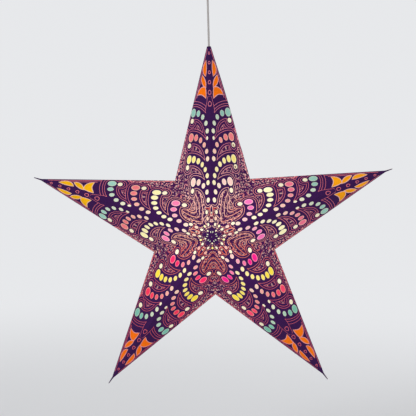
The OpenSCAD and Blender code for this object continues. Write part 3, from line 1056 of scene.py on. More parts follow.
def white_back():
    """The plain inside of the paper, on its glue flaps and cut edges too."""
    material, tree, shader = new_material("white paper back")
    place = tree.nodes.new("ShaderNodeTexCoord").outputs["Object"]
    glow = add_node(tree, "ShaderNodeAttribute", attribute_name="glow").outputs["Fac"]
    fibre = add_node(tree, "ShaderNodeGroup", node_tree=paper_fibre,
                     inputs={"Vector": place, "Fineness": 1.0})
    paper = mix_colours(tree, fibre.outputs["Shade"], linear(206, 196, 178), linear(240, 234, 222))
    tree.links.new(paper, shader.inputs["Base Color"])
    lit = add_node(tree, "ShaderNodeVectorMath", operation="SCALE", inputs={0: paper, "Scale": glow})
    warm = mix_colours(tree, 1.0, lit.outputs[0], BULB_TINT, "MULTIPLY")
    tree.links.new(warm, shader.inputs["Emission Color"])
    shader.inputs["Emission Strength"].default_value = BACK_GLOW
    bumped = add_node(tree, "ShaderNodeBump", inputs={
        "Height": fibre.outputs["Height"], "Strength": 0.3, "Distance": 0.00015})
    tree.links.new(bumped.outputs[0], shader.inputs["Normal"])
    shader.inputs["Roughness"].default_value = 0.9
    shader.inputs["Specular IOR Level"].default_value = PAPER_SHEEN
    return material


paper_materials = (printed_paper(), white_back())
print("materials:", [m.name for m in paper_materials])


# %% Make the five arms
PRINT_NODES = ("print_leaves", "print_mint", "print_coral", "print_yellow", "print_pink",
               "print_cream")


LACE_PALES = (215, 60)
OUTLINES_PALE = (165, 95)
EDGE_LACE = (8, 8)
WHITE_PAPER = (0.86, 0.84, 0.8, 1.0)
SHEET_SHARE = 0.9
CREASE_ANGLE = math.radians(14)


def paint_sheet(mesh, folded, face):
    """Keeps each corner's ink, line colour, lace, place on the flat sheet and glow on the mesh."""
    for name in ("ink", "thread"):
        mesh.color_attributes.new(name, "FLOAT_COLOR", "CORNER")
    mesh.attributes.new("laced", "FLOAT", "CORNER")
    mesh.attributes.new("glow", "FLOAT", "POINT")
    mesh.uv_layers.new(name="sheet")
    loops = len(mesh.loops)
    ink_values = np.ones((loops, 4), np.float32)
    thread_values = np.ones((loops, 4), np.float32)
    laced_values = np.zeros(loops, np.float32)
    flat = np.zeros((loops, 2), np.float32)
    outer = np.array(linear(*ARM_LIT_INKS[folded.arm]["line"]))
    inner = np.array(linear(*ARM_LIT_INKS[folded.arm]["pale line"]))
    ember_thread = np.array(linear(*EMBER_THREAD))
    for polygon, ink_name in zip(mesh.polygons, folded.inks):
        white = ink_name == "white"
        colour = WHITE_PAPER if white else ink_colour(folded.arm, ink_name)
        for loop in polygon.loop_indices:
            p, q = folded.sheet[mesh.loops[loop].vertex_index]
            near = smooth_share((p - LACE_PALES[0]) / LACE_PALES[1])
            paler = smooth_share((p - OUTLINES_PALE[0]) / OUTLINES_PALE[1])
            from_seam = p * math.sin(face.spread) - q * math.cos(face.spread)
            inside = smooth_share((from_seam - EDGE_LACE[0]) / EDGE_LACE[1]) * (1 - near)
            ink_values[loop] = outer + (inner - outer) * paler if ink_name == "line" else colour
            thread_values[loop] = ember_thread if ink_name == "ember" else outer + (inner - outer) * near
            laced_values[loop] = LACED.get(ink_name, 0.0) * (1 + (LACE_INSIDE - 1) * inside)
            flat[loop] = (p * MM, q * MM)
        polygon.material_index = 1 if white else 0
    mesh.attributes["ink"].data.foreach_set("color", ink_values.ravel())
    mesh.attributes["thread"].data.foreach_set("color", thread_values.ravel())
    mesh.attributes["laced"].data.foreach_set("value", laced_values)
    mesh.attributes["glow"].data.foreach_set("value", np.array(folded.glow, np.float32))
    mesh.uv_layers["sheet"].data.foreach_set("uv", flat.ravel())


def build_arm(arm):
    """Folds, paints and thickens one arm, which also stands for the CAD's raised inks."""
    folded = Folded(arm)
    top = arm == 0
    face, sheet = (top_face, top_sheet) if top else (arm_face, arm_sheet)
    fold_faces(folded, face, sheet, top)
    add_base_flaps(folded, face)
    add_seam_flap(folded, face, TOP_FLAP_START if top else PINCH_LENGTH)
    if not top:
        add_pinched_tip(folded)
    name = ARM_NAMES[arm].replace("arm_", "paper_") + "_arm"
    mesh = bpy.data.meshes.new(name)
    mesh.from_pydata(folded.places, [], folded.faces)
    for material in paper_materials:
        mesh.materials.append(material)
    paint_sheet(mesh, folded, face)
    mesh.polygons.foreach_set("use_smooth", [True] * len(mesh.polygons))
    mesh.set_sharp_from_angle(angle=CREASE_ANGLE)
    mesh.validate()
    piece = bpy.data.objects.new(name, mesh)
    bpy.context.scene.collection.objects.link(piece)
    thick = piece.modifiers.new("paper thickness", "SOLIDIFY")
    thick.thickness = SHEET_SHARE * PAPER * MM
    thick.offset = -1.0
    thick.material_offset = 1
    thick.material_offset_rim = 1
    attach(piece, "root")
    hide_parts(ARM_NAMES[arm], *PRINT_NODES)
    return piece


arms = [build_arm(arm) for arm in range(ARMS)]
print("triangles before thickness:", sum(len(a.data.polygons) for a in arms))

# %% [markdown]
# ## Turned pieces
#
# The lampholder, its cap, the bulb, the cable stop and the ceiling cup are all round. Each is a
# profile spun about the cable's axis. A spin tool or a screw modifier would do for plain ones,
# but here the radius may also follow the angle, which gives the same helper fluted grips and the
# screw threads of the lamp base.


# %% Spin a profile
def rounded(profile, radius, steps=4):
    """The profile with its corners rounded by short curves."""
    points = [profile[0]]
    for before, corner, after in zip(profile, profile[1:], profile[2:]):
        cuts = []
        for other in (before, after):
            length = math.dist(corner, other) or 1.0
            share = min(radius, length * 0.45) / length
            cuts.append(tuple(c + (o - c) * share for c, o in zip(corner, other)))
        points += bow(cuts[0], corner, cuts[1], steps)
    return points + [profile[-1]]


TURNED_EDGE = math.radians(38)


def spin(name, profile, base_z, ripple=None, closed=True, sides=64):
    """Turns (radius, height) points about the axis, from base_z upwards, all in millimetres."""
    places, faces = [], []
    for r, z in profile:
        for s in range(sides):
            angle = 2 * math.pi * s / sides
            reach = r + (ripple(angle, r, z) if ripple else 0.0)
            x, y = reach * math.cos(angle), reach * math.sin(angle)
            places.append((x * MM, y * MM, (z + base_z) * MM))
    rows = len(profile)
    for row in range(rows if closed else rows - 1):
        a, b = row * sides, ((row + 1) % rows) * sides
        for s in range(sides):
            t = (s + 1) % sides
            faces.append((a + s, a + t, b + t, b + s))
    if not closed:
        faces.append(tuple(range(sides))[::-1])
        faces.append(tuple(range((rows - 1) * sides, rows * sides)))
    mesh = bpy.data.meshes.new(name)
    mesh.from_pydata(places, [], faces)
    mesh.polygons.foreach_set("use_smooth", [True] * len(mesh.polygons))
    mesh.set_sharp_from_angle(angle=TURNED_EDGE)
    mesh.validate()
    piece = bpy.data.objects.new(name, mesh)
    bpy.context.scene.collection.objects.link(piece)
    return piece


def finish_piece(piece, material, node):
    piece.data.materials.append(material)
    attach(piece, "root")
    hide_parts(node)
    return piece


# %% [markdown]
# ## Lampholder
#
# A small white lampholder hangs on the cable in the star's middle. Its skirt is a tube with fine
# grip ribs, its cap a rounded cone that the cable enters. The ceramic-coloured insert and the
# threaded brass shell sit inside. They only show from behind or through a gap, but they are turned
# with the same care, because the part may be opened or cut later.

# %% Lampholder pieces
HOLDER_Z = -392.0
HOLDER_RADIUS = 14.0
HOLDER_WALL = 2.0
SKIRT_HEIGHT = 34.0
RIBS = 36
RIB_DEPTH = 0.45
CAP_HEIGHT = 20.0
CAP_TOP = 6.0
INSERT_HEIGHT = 6.0
BASE_RADIUS = 7.0
FIT_GAP = 0.3
THREAD_PITCH = 2.8
THREAD_DEPTH = 0.25
SHELL_HEIGHT = 20.0
SHELL_WALL = 0.5
cable_hole = CABLE_DIAMETER / MM / 2 + 0.3


def grip_ribs(count, depth, low, high, outer):
    """Shallow flutes on the outside of a profile between two heights."""
    def ripple(angle, r, z):
        if r < outer or not low < z < high:
            return 0.0
        ends = smooth_share(min(z - low, high - z) / 1.5)
        return -depth * (0.5 - 0.5 * math.cos(count * angle)) * ends
    return ripple


def heights(start, end, steps):
    """Even heights from start to end, both included."""
    return [start + (end - start) * i / steps for i in range(steps + 1)]


def build_skirt():
    """The ribbed tube round the insert and the contact shell."""
    top = HOLDER_WALL
    bottom = HOLDER_WALL - SKIRT_HEIGHT
    outer = [(HOLDER_RADIUS, z) for z in heights(bottom + 1, top - 1, 24)]
    profile = (
        rounded([(HOLDER_RADIUS - HOLDER_WALL, bottom + 4), (HOLDER_RADIUS - HOLDER_WALL, bottom),
                 (HOLDER_RADIUS, bottom), outer[0]], 0.7)[:-1]
        + outer
        + rounded([outer[-1], (HOLDER_RADIUS, top), (8, top), (8, 0)], 0.7)[1:]
        + [(HOLDER_RADIUS - HOLDER_WALL, 0)]
    )
    ribs = grip_ribs(RIBS, RIB_DEPTH, bottom + 4, top - 5, HOLDER_RADIUS - 0.01)
    skirt = spin("lampholder_skirt_turned", profile, HOLDER_Z, ribs, sides=144)
    return finish_piece(skirt, white_plastic, "lampholder_skirt")


def build_cap():
    """The rounded cone over the skirt, hollow, with a neck for the cable."""
    neck = CAP_HEIGHT - 5
    profile = (
        rounded([(HOLDER_RADIUS - HOLDER_WALL, 0), (HOLDER_RADIUS, 0), (HOLDER_RADIUS - 1.2, 3.0),
                 (CAP_TOP + 2.2, CAP_HEIGHT - 5.5), (CAP_TOP, CAP_HEIGHT), (cable_hole, CAP_HEIGHT),
                 (cable_hole, neck)], 1.2)
        + rounded([(cable_hole, neck), (CAP_TOP - HOLDER_WALL, neck),
                   (HOLDER_RADIUS - HOLDER_WALL, 0)], 0.8)[1:-1]
    )
    cap = spin("lampholder_cap_turned", profile, HOLDER_Z + HOLDER_WALL)
    return finish_piece(cap, white_plastic, "lampholder_cap")


def build_insert():
    """The round block inside the skirt, with a ring groove on each face."""
    reach = HOLDER_RADIUS - HOLDER_WALL - FIT_GAP
    profile = rounded([(0.01, -INSERT_HEIGHT), (3.2, -INSERT_HEIGHT), (3.2, -INSERT_HEIGHT + 0.6),
                       (reach - 2.4, -INSERT_HEIGHT + 0.6), (reach - 2.4, -INSERT_HEIGHT),
                       (reach, -INSERT_HEIGHT), (reach, 0), (reach - 3, 0), (reach - 3, -1.2),
                       (2.6, -1.2), (2.6, 0), (0.01, 0)], 0.35, 3)
    insert = spin("lampholder_insert_turned", profile, HOLDER_Z, closed=False)
    return finish_piece(insert, insert_plastic, "lampholder_insert")


def thread_ripple(depth, low, high):
    """A screw thread: the crest climbs one pitch in a turn and fades out at both ends."""
    def ripple(angle, r, z):
        ends = smooth_share(min(z - low, high - z) / 2.0)
        return depth * ends * math.sin(2 * math.pi * z / THREAD_PITCH - angle)
    return ripple


def build_contact_shell():
    """A thin brass sleeve with the lamp thread rolled into its wall."""
    low, high = -INSERT_HEIGHT - SHELL_HEIGHT, -INSERT_HEIGHT
    inner, outer = BASE_RADIUS + FIT_GAP, BASE_RADIUS + FIT_GAP + SHELL_WALL
    rows = heights(low, high, 60)
    profile = [(outer, z) for z in rows] + [(inner, z) for z in rows[::-1]]
    thread = thread_ripple(THREAD_DEPTH, low + 1, high - 1)
    shell = spin("contact_shell_rolled", profile, HOLDER_Z, thread, sides=48)
    return finish_piece(shell, contact_brass, "contact_shell")


holder_pieces = [build_skirt(), build_cap(), build_insert(), build_contact_shell()]
print("lampholder pieces:", [piece.name for piece in holder_pieces])

# %% [markdown]
# ## Bulb
#
# A small round bulb of frosted glass with a threaded nickel base. The glass is one smooth curve
# from the collar over the neck to the globe. It glows by itself, brighter where the filament sits
# than at the neck, so it looks lit wherever it is seen. The base carries the lamp thread, a black
# glass ring and a soldered tip.

# %% Bulb pieces
BULB_RADIUS = 22.5
BULB_LENGTH = 78.0
NECK_RADIUS = 12.0
BASE_LENGTH = 21.0
BULB_GLOW = 0.75
GLASS_SURFACE = 0.3
GLASS_RING = (-2.2, -0.2)


def frosted_glass():
    """Glass that glows by itself: warm at the neck, pale round the filament."""
    material, tree, shader = new_material("frosted lit glass")
    place = tree.nodes.new("ShaderNodeTexCoord").outputs["Object"]
    height = add_node(tree, "ShaderNodeSeparateXYZ", inputs={0: place}).outputs[2]
    globe_z = (HOLDER_Z - INSERT_HEIGHT - BULB_LENGTH + BULB_RADIUS) * MM
    near = add_node(tree, "ShaderNodeMapRange", interpolation_type="SMOOTHSTEP", inputs={
        "Value": height, "From Min": globe_z + 34 * MM, "From Max": globe_z + 4 * MM}).outputs[0]
    frost = add_node(tree, "ShaderNodeTexNoise", inputs={
        "Vector": place, "Scale": 420.0, "Detail": 3.0})
    cloud = add_node(tree, "ShaderNodeMapRange", inputs={
        "Value": frost.outputs["Fac"], "To Min": 0.9, "To Max": 1.06}).outputs[0]
    light = mix_colours(tree, near, linear(236, 170, 92), linear(255, 238, 200))
    shaded = add_node(tree, "ShaderNodeVectorMath", operation="SCALE",
                      inputs={0: light, "Scale": cloud})
    glass = add_node(tree, "ShaderNodeVectorMath", operation="SCALE",
                     inputs={0: shaded.outputs[0], "Scale": GLASS_SURFACE})
    tree.links.new(shaded.outputs[0], shader.inputs["Emission Color"])
    tree.links.new(glass.outputs[0], shader.inputs["Base Color"])
    bumped = add_node(tree, "ShaderNodeBump", inputs={
        "Height": frost.outputs["Fac"], "Strength": 0.2, "Distance": 0.0002})
    tree.links.new(bumped.outputs[0], shader.inputs["Normal"])
    shader.inputs["Emission Strength"].default_value = BULB_GLOW
    shader.inputs["Roughness"].default_value = 0.38
    return material


def build_globe():
    """The glass: a globe that runs into a neck and ends inside the metal base."""
    globe_z = -INSERT_HEIGHT - BULB_LENGTH + BULB_RADIUS
    base_z = -INSERT_HEIGHT - 2.0 - BASE_LENGTH
    profile = [(0.02, globe_z - BULB_RADIUS)]
    widest = math.pi - math.asin(NECK_RADIUS / BULB_RADIUS)
    for i in range(1, 33):
        angle = widest * i / 32
        profile.append((BULB_RADIUS * math.sin(angle), globe_z - BULB_RADIUS * math.cos(angle)))
    neck = profile[-1]
    collar = (BASE_RADIUS - 0.6, base_z + 1.5)
    profile += bow(neck, (BASE_RADIUS - 0.1, neck[1] + 3.2), collar, 8)[1:]
    globe = spin("bulb_glass", profile, HOLDER_Z, closed=False, sides=72)
    return finish_piece(globe, frosted_glass(), "bulb")


def build_bulb_base():
    """The threaded metal base with its black glass ring and its soldered tip."""
    top = -INSERT_HEIGHT - 2.0
    bottom = top - BASE_LENGTH
    rows = heights(bottom + 2.5, top - 3.0, 48)
    profile = (
        [(BASE_RADIUS - 1.2, bottom)]
        + rounded([(BASE_RADIUS - 0.2, bottom), (BASE_RADIUS, bottom + 1.2),
                   (BASE_RADIUS, rows[0])], 0.4)
        + [(BASE_RADIUS - 0.25, z) for z in rows]
        + rounded([(BASE_RADIUS - 0.5, top - 2.2), (3.6, top - 0.2), (3.0, top), (2.6, top + 1.7),
                   (0.02, top + 2.0)], 0.5)
    )
    thread = thread_ripple(THREAD_DEPTH, bottom + 1.5, top - 2.5)
    base = spin("bulb_base", profile, HOLDER_Z, thread, closed=False, sides=48)
    finish_piece(base, bulb_metal, "bulb")
    base.data.materials.append(black_glass)
    ring_low, ring_high = ((HOLDER_Z + top + edge) * MM for edge in GLASS_RING)
    for polygon in base.data.polygons:
        if ring_low < polygon.center.z < ring_high:
            polygon.material_index = 1
    return base


bulb_pieces = [build_globe(), build_bulb_base()]
print("bulb pieces:", [piece.name for piece in bulb_pieces])

# %% [markdown]
# ## Cable stop
#
# The paper hangs on a small clamp bead on the cable, just under the top tip. It is a short barrel
# with rounded rims and a waist, so that it doesn't cut the paper.

# %% Cable stop piece
STOP_RADIUS = 5.0
STOP_HEIGHT = 8.0
STOP_WAIST = 0.7


def build_stop():
    """The bead, as low in the folded tip as its own radius lets it rise."""
    side = math.hypot(top_face.out.x, top_face.out.y)
    drop = (STOP_RADIUS + 0.3) * side / top_face.out.z + PAPER / top_face.out.z
    bottom = middle_z + top_face.apex - drop - STOP_HEIGHT
    hole = CABLE_DIAMETER / MM / 2 + 0.15
    waist = STOP_RADIUS - STOP_WAIST
    profile = rounded([(hole, STOP_HEIGHT / 2), (hole, 0), (STOP_RADIUS, 0), (STOP_RADIUS, 2.6),
                       (waist, 3.2), (waist, 4.8), (STOP_RADIUS, 5.4), (STOP_RADIUS, STOP_HEIGHT),
                       (hole, STOP_HEIGHT), (hole, STOP_HEIGHT / 2 + 0.1)], 0.9)
    stop = spin("cable_stop_bead", profile, bottom, sides=48)
    return finish_piece(stop, white_plastic, "cable_stop")


stop_piece = build_stop()
print("cable stop at", [round(c, 4) for c in stop_piece.bound_box[0]])

# %% [markdown]
# ## Ceiling cup
#
# Above the view the cable ends in a white cup on the ceiling. The cup is a thin shell with soft
# corners, held up by the cord grip: a fluted collar that is screwed into a nut inside. A short
# terminal block joins the wires. The flat plate that the cup hangs from keeps its CAD shape, since
# a punched disc has no other, and only takes the plastic.

# %% Ceiling pieces
CUP_RADIUS = 40.0
CUP_HEIGHT = 22.0
CUP_SLOPE = 12.0
CUP_BOTTOM = 14.0
CUP_WALL = 2.0
SHANK_RADIUS = 4.9
GRIP_RADIUS = 8.0
GRIP_HEIGHT = 10.0
NUT_HEIGHT = 4.0
NUT_CHAMFER = 0.6
FLUTES = 18
FLUTE_DEPTH = 0.5
cup_bottom_z = -CUP_HEIGHT - CUP_SLOPE


def build_cup():
    """A thin bowl with soft corners, open at the ceiling, with a hole for the cord grip."""
    hole = SHANK_RADIUS + FIT_GAP
    inside = CUP_RADIUS - CUP_WALL
    profile = (
        rounded([(inside, -6), (inside, 0), (CUP_RADIUS, 0), (CUP_RADIUS, -CUP_HEIGHT + 0.3),
                 (CUP_BOTTOM + 0.5, cup_bottom_z), (hole, cup_bottom_z),
                 (hole, cup_bottom_z + CUP_WALL)], 2.4, 6)
        + rounded([(hole, cup_bottom_z + CUP_WALL), (CUP_BOTTOM, cup_bottom_z + CUP_WALL),
                   (inside, -CUP_HEIGHT), (inside, -6)], 2.0, 5)[1:-1]
    )
    cup = spin("ceiling_cup_shell", profile, 0.0, sides=120)
    return finish_piece(cup, white_plastic, "ceiling_cup")


def build_grip():
    """The fluted collar below the cup and its shank through the hole."""
    top = CUP_WALL + NUT_HEIGHT + 1
    body = [(GRIP_RADIUS * (0.5 + 0.5 * (z + GRIP_HEIGHT) / GRIP_HEIGHT), z)
            for z in heights(-GRIP_HEIGHT, -0.4, 20)]
    profile = (
        rounded([(cable_hole, 0), (cable_hole, -GRIP_HEIGHT), body[0], body[3]], 0.5)[:-1]
        + body[3:]
        + rounded([body[-1], (GRIP_RADIUS, 0), (SHANK_RADIUS, 0), (SHANK_RADIUS, top - 1)], 0.3)[1:]
        + rounded([(SHANK_RADIUS, top - 1), (SHANK_RADIUS - 0.4, top), (cable_hole, top),
                   (cable_hole, 1)], 0.3)[1:]
    )
    flutes = grip_ribs(FLUTES, FLUTE_DEPTH, -GRIP_HEIGHT + 1.5, -0.8, GRIP_RADIUS / 2 + 0.2)
    grip = spin("cord_grip_fluted", profile, cup_bottom_z, flutes, sides=108)
    return finish_piece(grip, white_plastic, "cord_grip")


def build_nut():
    """A six-sided nut with its corners turned off on both faces."""
    hole = SHANK_RADIUS + FIT_GAP
    flat = GRIP_RADIUS * math.cos(math.radians(30))
    profile = [(hole, 0), (flat + 0.3, 0), (GRIP_RADIUS, NUT_CHAMFER),
               (GRIP_RADIUS, NUT_HEIGHT - NUT_CHAMFER),
               (flat + 0.3, NUT_HEIGHT), (hole, NUT_HEIGHT)]

    def six_sides(angle, r, z):
        turn = (angle % math.radians(60)) - math.radians(30)
        return min(r, flat / math.cos(turn)) - r if r > hole + 0.1 else 0.0

    nut = spin("cord_grip_nut_cut", profile, cup_bottom_z + CUP_WALL, six_sides, sides=72)
    return finish_piece(nut, white_plastic, "cord_grip_nut")


BLOCK_WIDTH = 20.0
BLOCK_DEPTH = 14.0
BLOCK_LOW, BLOCK_HIGH = -16.0, -3.0
BLOCK_BEVEL = 0.6
GROOVE_HALF = 1.2
GROOVE_DEPTH = 1.6
WELL_RADIUS = 2.6
WELL_DEPTH = 3.5
SCREW_RADIUS = 2.2
SCREW_HEAD = 1.2


def add_rods(shape, radius, start, end):
    """Two round rods along Y, one in the middle of each pole, from start to end."""
    for x in (-BLOCK_WIDTH / 4, BLOCK_WIDTH / 4):
        place = Matrix.Translation(Vector((x, (start + end) / 2, (BLOCK_LOW + BLOCK_HIGH) / 2)) * MM)
        bmesh.ops.create_cone(shape, cap_ends=True, segments=32, radius1=radius * MM,
                              radius2=radius * MM, depth=(end - start) * MM,
                              matrix=place @ Matrix.Rotation(math.radians(90), 4, "X"))


def cut_wells(block):
    """Cuts the screw wells with a Boolean, so they have real walls, and seats a screw in each."""
    face = -BLOCK_DEPTH / 2
    shape = bmesh.new()
    add_rods(shape, WELL_RADIUS, face - WELL_DEPTH, face + WELL_DEPTH)
    mesh = bpy.data.meshes.new("well_cutter")
    shape.to_mesh(mesh)
    cutter = bpy.data.objects.new("well_cutter", mesh)
    bpy.context.scene.collection.objects.link(cutter)
    cut = block.modifiers.new("wells", "BOOLEAN")
    cut.operation = "DIFFERENCE"
    cut.object = cutter
    seen = block.evaluated_get(bpy.context.evaluated_depsgraph_get())
    block.data = bpy.data.meshes.new_from_object(seen)
    block.modifiers.clear()
    bpy.data.objects.remove(cutter)
    shape.clear()
    shape.from_mesh(block.data)
    body_faces = len(shape.faces)
    add_rods(shape, SCREW_RADIUS, face + WELL_DEPTH - SCREW_HEAD, face + WELL_DEPTH + 0.1)
    shape.to_mesh(block.data)
    shape.free()
    for polygon in list(block.data.polygons)[body_faces:]:
        polygon.material_index = 1


def build_block_body():
    """A two-pole block: a bevelled body with a groove between the poles and two screw wells."""
    outline = []
    for x, y in ((1, -1), (1, 1), (-1, 1), (-1, -1)):
        outline.append((x * BLOCK_WIDTH / 2, y * BLOCK_DEPTH / 2))
        if x * y > 0:
            outline += [(GROOVE_HALF * x, y * BLOCK_DEPTH / 2),
                        (0, y * (BLOCK_DEPTH / 2 - GROOVE_DEPTH)),
                        (-GROOVE_HALF * x, y * BLOCK_DEPTH / 2)]
    shape = bmesh.new()
    ends = [[shape.verts.new(Vector((x, y, z)) * MM) for x, y in outline]
            for z in (BLOCK_LOW, BLOCK_HIGH)]
    shape.faces.new(ends[0][::-1])
    shape.faces.new(ends[1])
    for i in range(len(outline)):
        j = (i + 1) % len(outline)
        shape.faces.new([ends[0][i], ends[0][j], ends[1][j], ends[1][i]])
    bmesh.ops.bevel(shape, geom=list(shape.edges), offset=BLOCK_BEVEL * MM, segments=2, profile=0.5,
                    affect="EDGES")
    mesh = bpy.data.meshes.new("terminal_block_body")
    shape.to_mesh(mesh)
    shape.free()
    block = bpy.data.objects.new("terminal_block_body", mesh)
    bpy.context.scene.collection.objects.link(block)
    cut_wells(block)
    finish_piece(block, insert_plastic, "terminal_block")
    block.data.materials.append(contact_brass)
    return block


ceiling_pieces = [build_cup(), build_grip(), build_nut(), build_block_body()]
plate = nodes["ceiling_plate"]
plate.data.materials.clear()
plate.data.materials.append(white_plastic)
print("ceiling pieces:", [piece.name for piece in ceiling_pieces])

# %% [markdown]
# ## Tie strings
#
# The top arm's right edge is open, because the lampholder goes in there. Two short brown strings
# close it: each passes through a pair of punched holes, from the front face to the back one, and
# ends in an overhand knot that rests on the print. A knot is a trefoil curve with a round bevel,
# pulled tight, with a short loose end.

# %% Tie pieces
STRING_RADIUS = 0.42
KNOT_RADIUS = 1.7
KNOT_LIFT = 0.2
KNOT_SCALE = 0.42
KNOT_STEPS = 40


def string_material():
    """Twisted fibre under brown wax, with its strands as slanting ridges and painted shade between them.
    """
    material, tree, shader = new_material("brown waxed string")
    place = tree.nodes.new("ShaderNodeTexCoord").outputs["Object"]
    parts = add_node(tree, "ShaderNodeSeparateXYZ", inputs={0: place})
    lay = math_node(tree, "ADD", math_node(tree, "MULTIPLY", parts.outputs[1], 5200.0),
                    math_node(tree, "MULTIPLY", parts.outputs[2], 3800.0))
    strand = add_node(tree, "ShaderNodeMapRange", inputs={
        "Value": math_node(tree, "SINE", lay), "From Min": -1.0, "From Max": 1.0}).outputs[0]
    # The colour darkens between the ridges: painted shade in the grooves between the strands.
    tree.links.new(mix_colours(tree, strand, linear(92, 44, 16), linear(186, 108, 46)),
                   shader.inputs["Base Color"])
    bumped = add_node(tree, "ShaderNodeBump", inputs={
        "Height": strand, "Strength": 0.6, "Distance": 0.0002})
    tree.links.new(bumped.outputs[0], shader.inputs["Normal"])
    shader.inputs["Roughness"].default_value = 0.78
    return material


def add_run(curve, places):
    """Adds one stretch of string through those places, given in millimetres."""
    run = curve.splines.new("POLY")
    run.points.add(len(places) - 1)
    for point, place in zip(run.points, places):
        point.co = (*(Vector(place) * MM), 1)


def build_tie(number, name, node, material):
    """A string through both eyelets with a trefoil knot and a short tail on each face."""
    p, q = EYELETS[number]
    hole = top_face.place(p, q)
    out = -hole.y + KNOT_RADIUS + KNOT_LIFT
    middle = Vector((hole.x, 0, middle_z + hole.z))
    curve = bpy.data.curves.new(name, "CURVE")
    curve.dimensions = "3D"
    curve.bevel_depth = STRING_RADIUS * MM
    curve.bevel_resolution = 3
    curve.use_fill_caps = True
    add_run(curve, [middle + Vector((0, y, 0)) for y in heights(-out, out, 6)])
    for front in (-1, 1):
        knot = []
        for i in range(KNOT_STEPS + 1):
            t = 2 * math.pi * i / KNOT_STEPS
            knot.append(middle + Vector((KNOT_SCALE * (math.sin(t) + 2 * math.sin(2 * t)),
                                         front * (out + 0.15 - 0.5 * math.sin(3 * t)),
                                         KNOT_SCALE * (math.cos(t) - 2 * math.cos(2 * t)))))
        add_run(curve, knot)
        end = [middle + Vector((0.9 + 0.4 * i, front * (out + 0.1 - 0.06 * i * i), -0.9 - 0.75 * i))
               for i in range(5)]
        add_run(curve, end)
    tie = bpy.data.objects.new(name, curve)
    bpy.context.scene.collection.objects.link(tie)
    return finish_piece(tie, material, node)


waxed_string = string_material()
ties = [build_tie(0, "upper_tie_string", "tie_upper", waxed_string),
        build_tie(1, "lower_tie_string", "tie_lower", waxed_string)]
print("ties:", [tie.name for tie in ties])

# %% [markdown]
# ## Floor, light and background
#
# A plain pale floor and soft light from three sides show the lantern's colours as they are. The
# floor's far part takes the colour of the world behind it, so there is no hard horizon, and no
# wall stands in the way of the other views. A hanging lamp is also looked at from below, so the
# floor is clear when it is seen from underneath.

# %% Studio
FLOOR_HEIGHT = -0.9
FLOOR_RADIUS = 9.0
FLOOR_RINGS, FLOOR_SPOKES = 24, 48
FLOOR_FADES = (1.0, 2.6)
WORLD_LIGHT = 0.5
LAMPS = (
    ("key light", (-2.0, -2.6, 1.2), 55, 1.6),
    ("fill light", (2.6, -2.2, 0.2), 26, 2.0),
    ("back light", (1.2, 2.8, 1.0), 40, 1.8),
)
PALE = (0.80, 0.81, 0.83, 1.0)


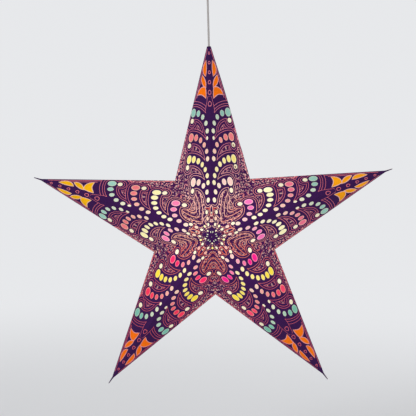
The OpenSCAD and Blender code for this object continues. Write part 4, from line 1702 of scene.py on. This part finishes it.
def make_floor():
    """A round floor whose far part takes the world's colour. From below it is clear."""
    radius, rings, spokes = FLOOR_RADIUS, FLOOR_RINGS, FLOOR_SPOKES
    places = [(0, 0, FLOOR_HEIGHT)]
    for ring in range(1, rings + 1):
        r = radius * (ring / rings) ** 1.6
        places += [(r * math.cos(2 * math.pi * s / spokes), r * math.sin(2 * math.pi * s / spokes),
                    FLOOR_HEIGHT) for s in range(spokes)]
    faces = [(0, 1 + s, 1 + (s + 1) % spokes) for s in range(spokes)]
    for ring in range(rings - 1):
        a, b = 1 + ring * spokes, 1 + (ring + 1) * spokes
        faces += [(a + s, b + s, b + (s + 1) % spokes, a + (s + 1) % spokes) for s in range(spokes)]
    mesh = bpy.data.meshes.new("studio_floor")
    mesh.from_pydata(places, [], faces)
    floor = bpy.data.objects.new("studio_floor", mesh)
    bpy.context.scene.collection.objects.link(floor)
    material, tree, shader = new_material("pale floor")
    shader.inputs["Base Color"].default_value = (0.72, 0.73, 0.75, 1.0)
    shader.inputs["Roughness"].default_value = 0.9
    shader.inputs["Specular IOR Level"].default_value = 0.1
    place = tree.nodes.new("ShaderNodeTexCoord").outputs["Object"]
    away = add_node(tree, "ShaderNodeVectorMath", operation="LENGTH", inputs={0: place}).outputs["Value"]
    far = add_node(tree, "ShaderNodeMapRange", interpolation_type="SMOOTHSTEP",
                   inputs={"Value": away, "From Min": FLOOR_FADES[0],
                           "From Max": FLOOR_FADES[1]}).outputs[0]
    backdrop = add_node(tree, "ShaderNodeEmission", inputs={"Color": PALE})
    blended = add_node(tree, "ShaderNodeMixShader", inputs={
        0: far, 1: shader.outputs[0], 2: backdrop.outputs[0]})
    below = tree.nodes.new("ShaderNodeNewGeometry").outputs["Backfacing"]
    clear = tree.nodes.new("ShaderNodeBsdfTransparent")
    from_above = add_node(tree, "ShaderNodeMixShader", inputs={
        0: below, 1: blended.outputs[0], 2: clear.outputs[0]})
    tree.links.new(from_above.outputs[0], tree.nodes["Material Output"].inputs["Surface"])
    mesh.materials.append(material)
    return floor


def make_world():
    """A soft even light, shown to the camera, to gloss and to glass as the pale background."""
    world = bpy.data.worlds.new("studio")
    world.use_nodes = True
    tree = world.node_tree
    tree.nodes.clear()
    path = tree.nodes.new("ShaderNodeLightPath")
    seen = math_node(tree, "MAXIMUM", path.outputs["Is Camera Ray"], path.outputs["Is Glossy Ray"])
    seen = math_node(tree, "MAXIMUM", seen, path.outputs["Is Transmission Ray"])
    light = add_node(tree, "ShaderNodeBackground", inputs={
        "Color": (1, 1, 1, 1), "Strength": WORLD_LIGHT})
    shown = add_node(tree, "ShaderNodeBackground", inputs={"Color": PALE, "Strength": 1.0})
    mixed = add_node(tree, "ShaderNodeMixShader", inputs={
        0: seen, 1: light.outputs[0], 2: shown.outputs[0]})
    output = tree.nodes.new("ShaderNodeOutputWorld")
    tree.links.new(mixed.outputs[0], output.inputs["Surface"])
    bpy.context.scene.world = world


def soft_light(name, place, power, size):
    """A square area lamp aimed at the middle of the star."""
    data = bpy.data.lights.new(name, "AREA")
    data.energy = power
    data.size = size
    lamp = bpy.data.objects.new(name, data)
    bpy.context.scene.collection.objects.link(lamp)
    lamp.location = place
    lamp.rotation_euler = (STAR_MIDDLE - Vector(place)).to_track_quat("-Z", "Y").to_euler()


floor = make_floor()
make_world()
for lamp in LAMPS:
    soft_light(*lamp)
bpy.context.scene.view_settings.view_transform = "Standard"
print("lights:", len(LAMPS))
